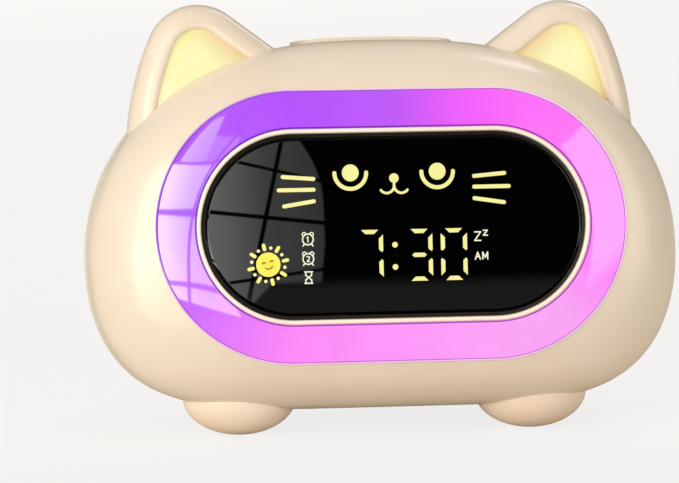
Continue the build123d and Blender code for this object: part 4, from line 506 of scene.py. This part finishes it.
# Painted glow: the outer bead stands for the ring's light caught on the case's lip, the inner one
# for its light in the gap by the bezel.
lip_and_gap_glow = glowing("lip_and_gap_glow", 0.2, 0.75, Roughness=0.3)
bead("ring_lip_glow", *LIP_GLOW, hues(LIP_GLOW_HUES, along))
bead("ring_gap_glow", *GAP_GLOW, ring_hue * 0.6)


# ---- Display bezel ---------------------------------------------------------------------------
# A thin frame of glossy cream ABS stands between the ring and the black lens. Its front edge is
# a rounded lip, a ledge behind that carries the lens, and screws hold its flange and the board
# to the light tray.

# Section, in mm as radius and depth: the ledge's outer corner, the lip's middle, half width and
# height, and the other corners, from the outer wall's foot by the flange back to the ledge
LEDGE_CORNER = (21.66, -19.6)
LIP_MIDDLE, LIP_HALF, LIP_Y, LIP_HEIGHT = 22.17, 0.51, -21.5, 0.45
FRAME_CORNERS = ((22.68, -7.8), (25.48, -7.8), (25.48, -6.2), (21.3, -6.2), (21.3, -18.1),
                 (20.46, -18.1), (20.46, -19.6))

# Painted glow: a faint warm emission on the frame stands in for the ring's light that falls on it.
bezel_cream_and_ring_glow = moulded("cream_bezel", "#FCF0E2", "#F8EAD8", 0.16, grain=0.1, Coat_Weight=0.5,
                      Coat_Roughness=0.08, Emission_Color=linear("#FFE2C4"),
                      Emission_Strength=0.12)
lip_cos, lip_sin = arc(180, 0, 17)
lip = np.stack([LIP_MIDDLE + LIP_HALF * lip_cos, LIP_Y - LIP_HEIGHT * lip_sin], axis=-1)
radius, depth = np.vstack([LEDGE_CORNER, lip, FRAME_CORNERS]).T
piece = skin("display_frame", loop(radius, depth), bezel_cream_and_ring_glow)
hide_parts("display_bezel")


# ---- Display lens ----------------------------------------------------------------------------
# The face plate is black acrylic, flat and mirror smooth, with a bevelled edge, and it lies on
# the bezel's ledge. Faint wiping marks only show where it mirrors something bright.

# Section, in mm as radius and depth: the flat face, the radius that rolls it into its bevel by
# 30 degrees, the bevel, and the back
LENS_FACE, LENS_FLAT, LENS_ROLL = -22.08, 19.95, 0.35
BEVEL = ((20.2, -21.99), (20.72, -21.69), (20.8, -21.63), (21.4, -20.86), (21.58, -20.6))
LENS_BACK = ((21.58, -19.6), (10, -19.6), (0, -19.6))

lens = Finish("black_lens", Base_Color=linear("#020202"), IOR=1.5)
smear = lens.wire.noise(lens.wire.place(), 60.0, 4.0)
lens.set(Roughness=smear.ramp(0.4, 0.8, 0.006, 0.016))
roll_cos, roll_sin = arc(0, 30, 9)
roll = np.stack([LENS_FLAT + LENS_ROLL * roll_sin, LENS_FACE + LENS_ROLL * (1 - roll_cos)], axis=-1)
flat = [(radius, LENS_FACE) for radius in (0, 10, 19.85)]
radius, depth = np.vstack([flat, roll, BEVEL, LENS_BACK]).T
piece = skin("face_plate", loop(radius, depth), lens.material, poles=True)
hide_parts("display_lens")


# ---- Lit windows -----------------------------------------------------------------------------
# Each sign of the display is a clear inlay, flush with the lens, that its own lamp lights: pale
# yellow for the time and the cat's face, near white for the small signs, and yellow for the sun.

# The sun, in mm: where its disc ends and its rays begin
DISC_EDGE = (2.95, 3.15)


def lit(name, colour, strength):
    """A lit inlay: its colour dips a little towards the ends of each lamp's reach."""
    made = Finish(name, Roughness=0.2, Base_Color=linear(colour, 0.05), Emission_Strength=strength)
    uneven = made.wire.noise(made.wire.place(), 220.0, 1.0).ramp(0.3, 0.7)
    made.set(Emission_Color=uneven.blend(linear(colour), linear(colour, 0.94)))
    return made.material


def from_middle(wire, name):
    """How far right and up a point is from the middle of a CAD node's box, in mm."""
    low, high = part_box(name)
    across, _, up = wire.apart(wire.place())
    return (across - (low[0] + high[0]) / 2) * 1000.0, (up - (low[2] + high[2]) / 2) * 1000.0


pale = lit("lit_pale", "#FBF5A0", 0.95)
dress(pale, "lit_window", "digit_windows", "colon_windows", "face_windows")
dress(lit("lit_white", "#FEFDDC", 0.95), "lit_window", "icon_windows")
sun = Finish("lit_sun", Roughness=0.2, Base_Color=linear("#FDEF3A", 0.05), Emission_Strength=0.97)
across, up = from_middle(sun.wire, "sun_windows")
reach = (across * across + up * up).maths("SQRT")
rays = (8.0 * up.maths("ARCTAN2", across) - 0.98).maths("COSINE").ramp(-0.5, -0.1)
outer = rays.blend(linear("#FDFAC4"), linear("#FEF784"))
disc_hue = reach.ramp(0.0, 2.9).blend(linear("#FDE23A"), linear("#FEF05A"))
sun.set(Emission_Color=reach.ramp(*DISC_EDGE).blend(disc_hue, outer))
dress(sun.material, "lit_window", "sun_windows")


# ---- Paws and rear pads ----------------------------------------------------------------------
# Two squashed buns of soft-touch plastic, a little pinker than the case, carry the front, each
# with a plug through the case's wall. Two rubber cones, sunk into that wall, carry the rear.

paw = moulded("cream_paw", "#FBE7D2", "#F7DFC8", 0.42, Coat_Weight=0.3, Coat_Roughness=0.2)
dress(paw, "paw", "front_paw_left", "front_paw_right")
rubber = moulded("rear_rubber", "#CFC4B4", "#C4B8A6", 0.75, grain=2.5)
dress(rubber, "rubber", "rear_pads")


# ---- Top key and rear keys -------------------------------------------------------------------
# The top key and the five round rear keys are cream caps, finer in grain than the case, on black
# plungers. Each rear key carries a printed sign: less, more, power, light and snooze.

KEY_CREAM, KEY_SHADE, KEY_INK = "#F0E0CA", "#EBDAC2", "#857868"

# The printed signs, in mm: how far below the caps' middles they sit and how softly their ink
# ends, half a stroke's length and width, the radii of the power sign and of the moon with the
# disc that it lacks, half a ray's length and width, and where the rays begin and the sun ends
SIGN_DROP, INK_SOFT = 0.4, 0.06
STROKE_LENGTH, STROKE_WIDTH = 1.6, 0.22
POWER_OUT, POWER_IN = 1.75, 1.35
MOON, MOON_LACK = 1.75, 1.4
RAY_LENGTH, RAY_WIDTH, RAY_ROOT, SUN_EDGE = 2.1, 0.2, 1.35, 0.95


def bar(first, second, half_first, half_second):
    """1 inside a bar of two half sizes, and 0 outside it."""
    return (abs(first).ramp(half_first - INK_SOFT, half_first + INK_SOFT, 1.0, 0.0)
            * abs(second).ramp(half_second - INK_SOFT, half_second + INK_SOFT, 1.0, 0.0))


def disc(first, second, radius):
    """1 inside a circle, and 0 outside it."""
    reach = (first * first + second * second).maths("SQRT")
    return reach.ramp(radius - INK_SOFT, radius + INK_SOFT, 1.0, 0.0)


def less(u, v):
    """One level stroke."""
    return bar(u, v, STROKE_LENGTH, STROKE_WIDTH)


def more(u, v):
    """A level stroke and an upright one."""
    return less(u, v) | less(v, u)


def power(u, v):
    """A ring that is open at the top, with a short upright stroke in the gap."""
    circle = disc(u, v, POWER_OUT) * (1 - disc(u, v, POWER_IN))
    gap, stroke = bar(u, v - 1.6, 0.6, 0.8), bar(u, v - 1.3, 0.2, 0.9)
    return circle * (1 - gap) | stroke


def light_sign(u, v):
    """A disc with eight short rays round it."""
    slant, other = (u + v) * 0.7071, (u - v) * 0.7071
    rays = bar(u, v, RAY_WIDTH, RAY_LENGTH) | bar(u, v, RAY_LENGTH, RAY_WIDTH)
    slanted = bar(slant, other, RAY_WIDTH, RAY_LENGTH) | bar(slant, other, RAY_LENGTH, RAY_WIDTH)
    return (rays | slanted) * (1 - disc(u, v, RAY_ROOT)) | disc(u, v, SUN_EDGE)


def snooze(u, v):
    """A crescent: a disc less another one beside it."""
    return disc(u, v, MOON) * (1 - disc(u - 0.8, v - 0.5, MOON_LACK))


keycap = moulded("cream_key", KEY_CREAM, KEY_SHADE, 0.33, grain=0.6)
dress(keycap, "cream_keys", "top_key")
for number, sign in enumerate((less, more, power, light_sign, snooze), 1):
    key = "rear_key_%d" % number
    made = Finish("cream_key_%d" % number, Roughness=0.36)
    wire = made.wire
    across, up = from_middle(wire, key)
    ink = sign(across, up + SIGN_DROP)
    clouds = wire.noise(wire.place(), CLOUDS, 3.0).ramp(0.25, 0.75)
    fine = wire.noise(wire.place(), GRAIN, 2.0, 0.6)
    cap = clouds.blend(linear(KEY_CREAM), linear(KEY_SHADE))
    made.set(Base_Color=ink.blend(cap, linear(KEY_INK)), Normal=wire.bump(fine, 0.00003, 0.55))
    dress(made.material, "cream_keys", key)
plunger = moulded("plunger", "#2A2A2C", "#232326", 0.4)
plungers = ["key_plunger_%d" % number for number in range(1, 6)]
dress(plunger, "plunger", "top_key_plunger", *plungers)


# ---- Battery bay -----------------------------------------------------------------------------
# Three cells in printed sleeves, gold at the left and dark green for the rest, lie side by side
# between springs and plates of plated steel. The same steel makes the power socket and screws.

# Where the gold ends, in mm across the table
GOLD_EDGE = (-30.5, -30.0)


def metal(name, colour, rough):
    """Plated metal with a fine drawn grain along X."""
    made = Finish(name, Metallic=1.0)
    wire = made.wire
    stretch = {"Vector": wire.place(), "Scale": (150.0, 4000.0, 4000.0)}
    grain = wire.noise(wire.node("ShaderNodeMapping", None, stretch), 1.0, 2.0)
    made.set(Base_Color=grain.blend(linear(colour, 0.9), linear(colour)),
             Roughness=grain.ramp(0.3, 0.7, rough - 0.06, rough + 0.06))
    return made.material


cell = Finish("cell_sleeve", Roughness=0.3, Metallic=0.4)
across, _ = cell.wire.across_and_up()
cell.set(Base_Color=across.ramp(*GOLD_EDGE).blend(linear("#B8892F"), linear("#1F4E4A")))
dress(cell.material, "battery", "battery_cells")
steel = metal("plated_steel", "#D2D2D6", 0.28)
dress(steel, "steel", "contact_plates", "contact_springs", "power_socket", "case_screws",
      "tray_screws", "board_screws")


# ---- Speaker ---------------------------------------------------------------------------------
# A small driver sits behind the rear grille: black pressed basket, paper cone and plated magnet.
# A woven dust mesh lies between it and the holes.

# Threads of the mesh, in radians to the mm
WEAVE = 9.0

basket = moulded("speaker_basket", "#1C1C1E", "#161617", 0.45)
dress(basket, "speaker_basket", "speaker_frame")
cone = moulded("speaker_paper", "#26241F", "#1E1C19", 0.85, grain=4.0)
dress(cone, "speaker_paper", "speaker_cone")
dress(metal("magnet_plate", "#8C8C90", 0.35), "magnet", "speaker_magnet")
cloth = Finish("dust_mesh", Roughness=0.9)
across, up = cloth.wire.across_and_up()
weave = (across * WEAVE).maths("SINE") * (up * WEAVE).maths("SINE")
cloth.set(Base_Color=weave.ramp(-0.4, 0.6).blend(linear("#0E0E0E"), linear("#242424")),
          Normal=cloth.wire.bump(weave * 0.5 + 0.5, 0.00008))
dress(cloth.material, "mesh_cloth", "speaker_mesh")


# ---- Boards, lamps, light chamber and wires --------------------------------------------------
# Glass-fibre boards under green solder mask carry the lamps, switches and chips. A white tray
# and light block steer the lamps' light. Red-brown leads and a flat grey cable join the boards.

# Cores of the flat cable, in radians to the mm: one each millimetre
CORES = 6.283

board = Finish("solder_mask", Roughness=0.3, Coat_Weight=0.4, Coat_Roughness=0.15)
tracks = board.wire.noise(board.wire.place(), 700.0, 0.0).ramp(0.52, 0.56)
board.set(Base_Color=tracks.blend(linear("#0E4A2A"), linear("#15633A")))
dress(board.material, "circuit_board", "ring_led_board", "display_board", "key_board",
      "power_board", "top_key_board", "ear_led_board_left", "ear_led_board_right")
chip = moulded("chip_resin", "#1A1A1C", "#141416", 0.5)
dress(chip, "chip", "board_chips", "key_switches", "top_key_switch")
lamp = Finish("lamp_resin", Roughness=0.2, Base_Color=linear("#F2EBC8"),
              Emission_Color=linear("#FFF3C0"), Emission_Strength=0.6)
dress(lamp.material, "lamp", "ring_leds", "display_leds", "ear_leds")
white = moulded("white_chamber", "#F2F2F0", "#EAEAE8", 0.5)
dress(white, "white_plastic", "ring_tray", "display_light_block")
dress(moulded("lead_sleeve", "#8E2F2A", "#7C2824", 0.45), "wire", "leads")
ribbon = Finish("ribbon_sleeve", Roughness=0.4)
across, _ = ribbon.wire.across_and_up()
cores = (across * CORES).maths("SINE")
ribbon.set(Base_Color=cores.ramp(-0.2, 0.8).blend(linear("#9EA3A8"), linear("#C9CDD1")),
           Normal=ribbon.wire.bump(cores * 0.5 + 0.5, 0.0002))
dress(ribbon.material, "wire", "ribbon_cable")


# ---- Stage: floor, surroundings, lamps, window cards and camera ------------------------------
# A plain pale floor and surroundings with soft studio lamps. Cards that only gloss can see carry
# paned windows far ahead and at the left, a plain one at the right and a dark table in front.

FLOOR_HALF = 6.0
FLOOR_COLOUR = (0.64, 0.59, 0.50, 1)
FLOOR_SHINE = 0.8
SURROUND, SURROUND_IN_GLOSS = 0.48, 0.09
SURROUND_COLOUR, WHITE = (1.0, 0.97, 0.90, 1), (1, 1, 1, 1)
BLACK = (0, 0, 0, 1)
AIM = Vector((0.0, -0.01, 0.05))

floor_mesh = bpy.data.meshes.new("floor")
corners = [(across * FLOOR_HALF, back * FLOOR_HALF, 0)
           for across, back in ((-1, -1), (1, -1), (1, 1), (-1, 1))]
floor_mesh.from_pydata(corners, [], [(0, 1, 2, 3)])
floor = bpy.data.objects.new("floor", floor_mesh)
bpy.context.scene.collection.objects.link(floor)
floor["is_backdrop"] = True
paper = Finish("floor_paper", Base_Color=FLOOR_COLOUR, Roughness=0.8)
tree = paper.material.node_tree
shine = tree.nodes.new("ShaderNodeEmission")
seen = paper.wire.node("ShaderNodeLightPath", None, None, "Is Camera Ray") * FLOOR_SHINE
mixed = tree.nodes.new("ShaderNodeMixShader")
tree.links.new(seen.socket, mixed.inputs[0])
tree.links.new(paper.shader.outputs[0], mixed.inputs[1])
tree.links.new(shine.outputs[0], mixed.inputs[2])
tree.links.new(mixed.outputs[0], tree.nodes["Material Output"].inputs[0])
floor_mesh.materials.append(paper.material)

world = bpy.data.worlds.new("studio")
bpy.context.scene.world = world
world.use_nodes = True
tree = world.node_tree
background = tree.nodes["Background"]
camera_ray, glossy_ray = [Wire(tree).node("ShaderNodeLightPath", None, None, kind)
                          for kind in ("Is Camera Ray", "Is Glossy Ray")]
unseen = SURROUND - (SURROUND - SURROUND_IN_GLOSS) * glossy_ray
strength = camera_ray + (1 - camera_ray) * unseen
colour = camera_ray.blend(SURROUND_COLOUR, WHITE)
tree.links.new(strength.socket, background.inputs["Strength"])
tree.links.new(colour.socket, background.inputs["Color"])


def lamp_panel(name, place, size, power, colour="#FFFFFF", glossy=False):
    """A soft rectangular lamp aimed at the clock's middle."""
    light = bpy.data.lights.new(name, "AREA")
    light.shape = "RECTANGLE"
    light.size, light.size_y = size
    light.energy = power
    light.color = linear(colour)[:3]
    made = bpy.data.objects.new(name, light)
    made.location = place
    made.rotation_mode = "QUATERNION"
    made.rotation_quaternion = (AIM - Vector(place)).to_track_quat("-Z", "Y")
    made.visible_glossy = glossy
    bpy.context.scene.collection.objects.link(made)


lamp_panel("key_left", (-1.125, -0.9, 0.40), (0.7, 0.9), 14.9, "#FFFEFC")
lamp_panel("fill_right", (1.0, -1.1, 0.50), (0.6, 0.6), 4.9, "#FFFDFA")
lamp_panel("rim_right", (0.62, 0.60, 1.02), (0.14, 0.8), 2.2, glossy=True)
lamp_panel("rear_soft", (-0.2, 1.5, 0.28), (0.9, 0.5), 7.5)


def card(name, low, high, material):
    """A flat card between two opposite corners, in metres, that only glossy rays can see."""
    corners = [low, (high[0], *low[1:]), high, (low[0], *high[1:])]
    mesh = bpy.data.meshes.new(name)
    mesh.from_pydata(corners, [], [(0, 1, 2, 3)])
    mesh.materials.append(material)
    made = bpy.data.objects.new(name, mesh)
    made.visible_camera = False
    made.visible_diffuse = False
    made.visible_shadow = False
    made.visible_transmission = False
    bpy.context.scene.collection.objects.link(made)
    made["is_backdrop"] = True


def shining(name):
    """A black card's material, for a colour that shines, and the card's across and up in mm."""
    made = Finish(name, Base_Color=BLACK, Roughness=1.0, Emission_Strength=1.0)
    return made, *made.wire.across_and_up()


def glazing(x, z, bars):
    """0 on each glazing bar and 1 between them, from a, b, c and half of each bar's width.

    A bar runs where a times x, plus b times z, plus c is 0, in mm.
    """
    clear = 1.0
    for a, b, c, half in bars:
        clear = abs(a * x + b * z + c).ramp(half * 0.6, half * 1.4) * clear
    return clear


def past(value, soft=1.0):
    """0 before the line where a value is 0, and 1 past it, soft over that many mm each way."""
    return value.ramp(-soft, soft)


# The far window, which the lens mirrors: bars, a curved right edge, and a slanted foot above a
# faintly lit table
FAR_Y = -0.65
FAR_BARS = ((0.25, 1.0, -205.9, 0.7), (0.118, 1.0, -180.7, 0.85), (-0.125, 1.0, -146.9, 0.7),
            (1.0, -0.243, 2.3, 0.9))
far, x, z = shining("far_window")
high, low = z - 182.0 | 0.0, 166.0 - z | 0.0
panes = glazing(x, z, FAR_BARS) * (1 - (x + 0.014 * high * high + 0.12 * low).ramp(62.8, 64.0))
panes = panes * past(z + (42.0 - x | 0.0) - 149.6, 1.2)
fade = x.ramp(14.0, 46.0) * 0.88 + x.ramp(46.0, 64.0) * 0.12
light = fade.blend((2.9, 2.9, 2.9, 1), (0.75, 0.75, 0.75, 1))
table = (1 - z.ramp(145.5, 152.5)).blend(BLACK, (0.24, 0.24, 0.24, 1))
far.set(Emission_Color=panes.blend(table, light))
card("far_window", (-0.06, FAR_Y, 0.09), (0.30, FAR_Y, 0.225), far.material)

# The near windows, which the ring mirrors: a paned one with two dimmer lights above it, and a
# plain one at the right that fades towards the table
NEAR_Y = -0.11
LEFT_BARS = ((0.4535, 1.0, -82.0, 1.9), (0.133, 1.0, -67.4, 2.8), (-0.222, 1.0, -45.7, 2.4),
             (1.0, -0.374, 101.7, 2.4))
left, x, z = shining("left_window")
split = past(x + 0.076 * z + 66.2)
high_part = past(x - 0.456 * z + 190.5) * (1 - split) * 0.6
side_part = split * (1 - past(z + 0.75 * x - 95.8)) * 0.36
above = past(z + 0.4535 * x - 82.0, 0.5)
panes = glazing(x, z, LEFT_BARS) * ((1 - above) + above * (high_part + side_part))
panes = panes * past(z - 0.154 * x - 21.8, 0.8)
light = x.ramp(-150.0, -62.0).blend((5.3, 6.2, 5.2, 1), (2.5, 2.9, 2.6, 1))
left.set(Emission_Color=panes.blend(BLACK, light))
card("left_window", (-0.160, NEAR_Y, 0.004), (-0.046, NEAR_Y, 0.205), left.material)

right, x, z = shining("right_window")
inside = (1 - past(z - 0.853 * x - 43.9)) * past(x + 0.2 * z - 112.0) * z.ramp(4.0, 48.0)
right.set(Emission_Color=inside.blend(BLACK, (1.7, 1.7, 1.7, 1)))
card("right_window", (0.088, NEAR_Y, 0.004), (0.30, NEAR_Y, 0.23), right.material)

flag = Finish("black_flag", Base_Color=(0.01, 0.01, 0.01, 1), Roughness=1.0)
card("floor_flag", (-0.30, -0.60, 0.0006), (0.30, -0.045, 0.0006), flag.material)

AZIMUTH, ELEVATION, DISTANCE = np.radians(-7.5), np.radians(9.19), 0.9388
TARGET = Vector((-0.01012, -0.0054356, 0.04409))
back = Vector((np.sin(AZIMUTH) * np.cos(ELEVATION), -np.cos(AZIMUTH) * np.cos(ELEVATION),
               np.sin(ELEVATION)))
camera_data = bpy.data.cameras.new("camera")
camera_data.sensor_width = 36.0
camera_data.lens = 209.43
camera = bpy.data.objects.new("camera", camera_data)
camera.location = TARGET + back * DISTANCE
camera.rotation_mode = "QUATERNION"
camera.rotation_quaternion = (-back).to_track_quat("-Z", "Y")
bpy.context.scene.collection.objects.link(camera)
bpy.context.scene.camera = camera
bpy.context.scene.view_settings.view_transform = "Standard"

low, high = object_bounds()
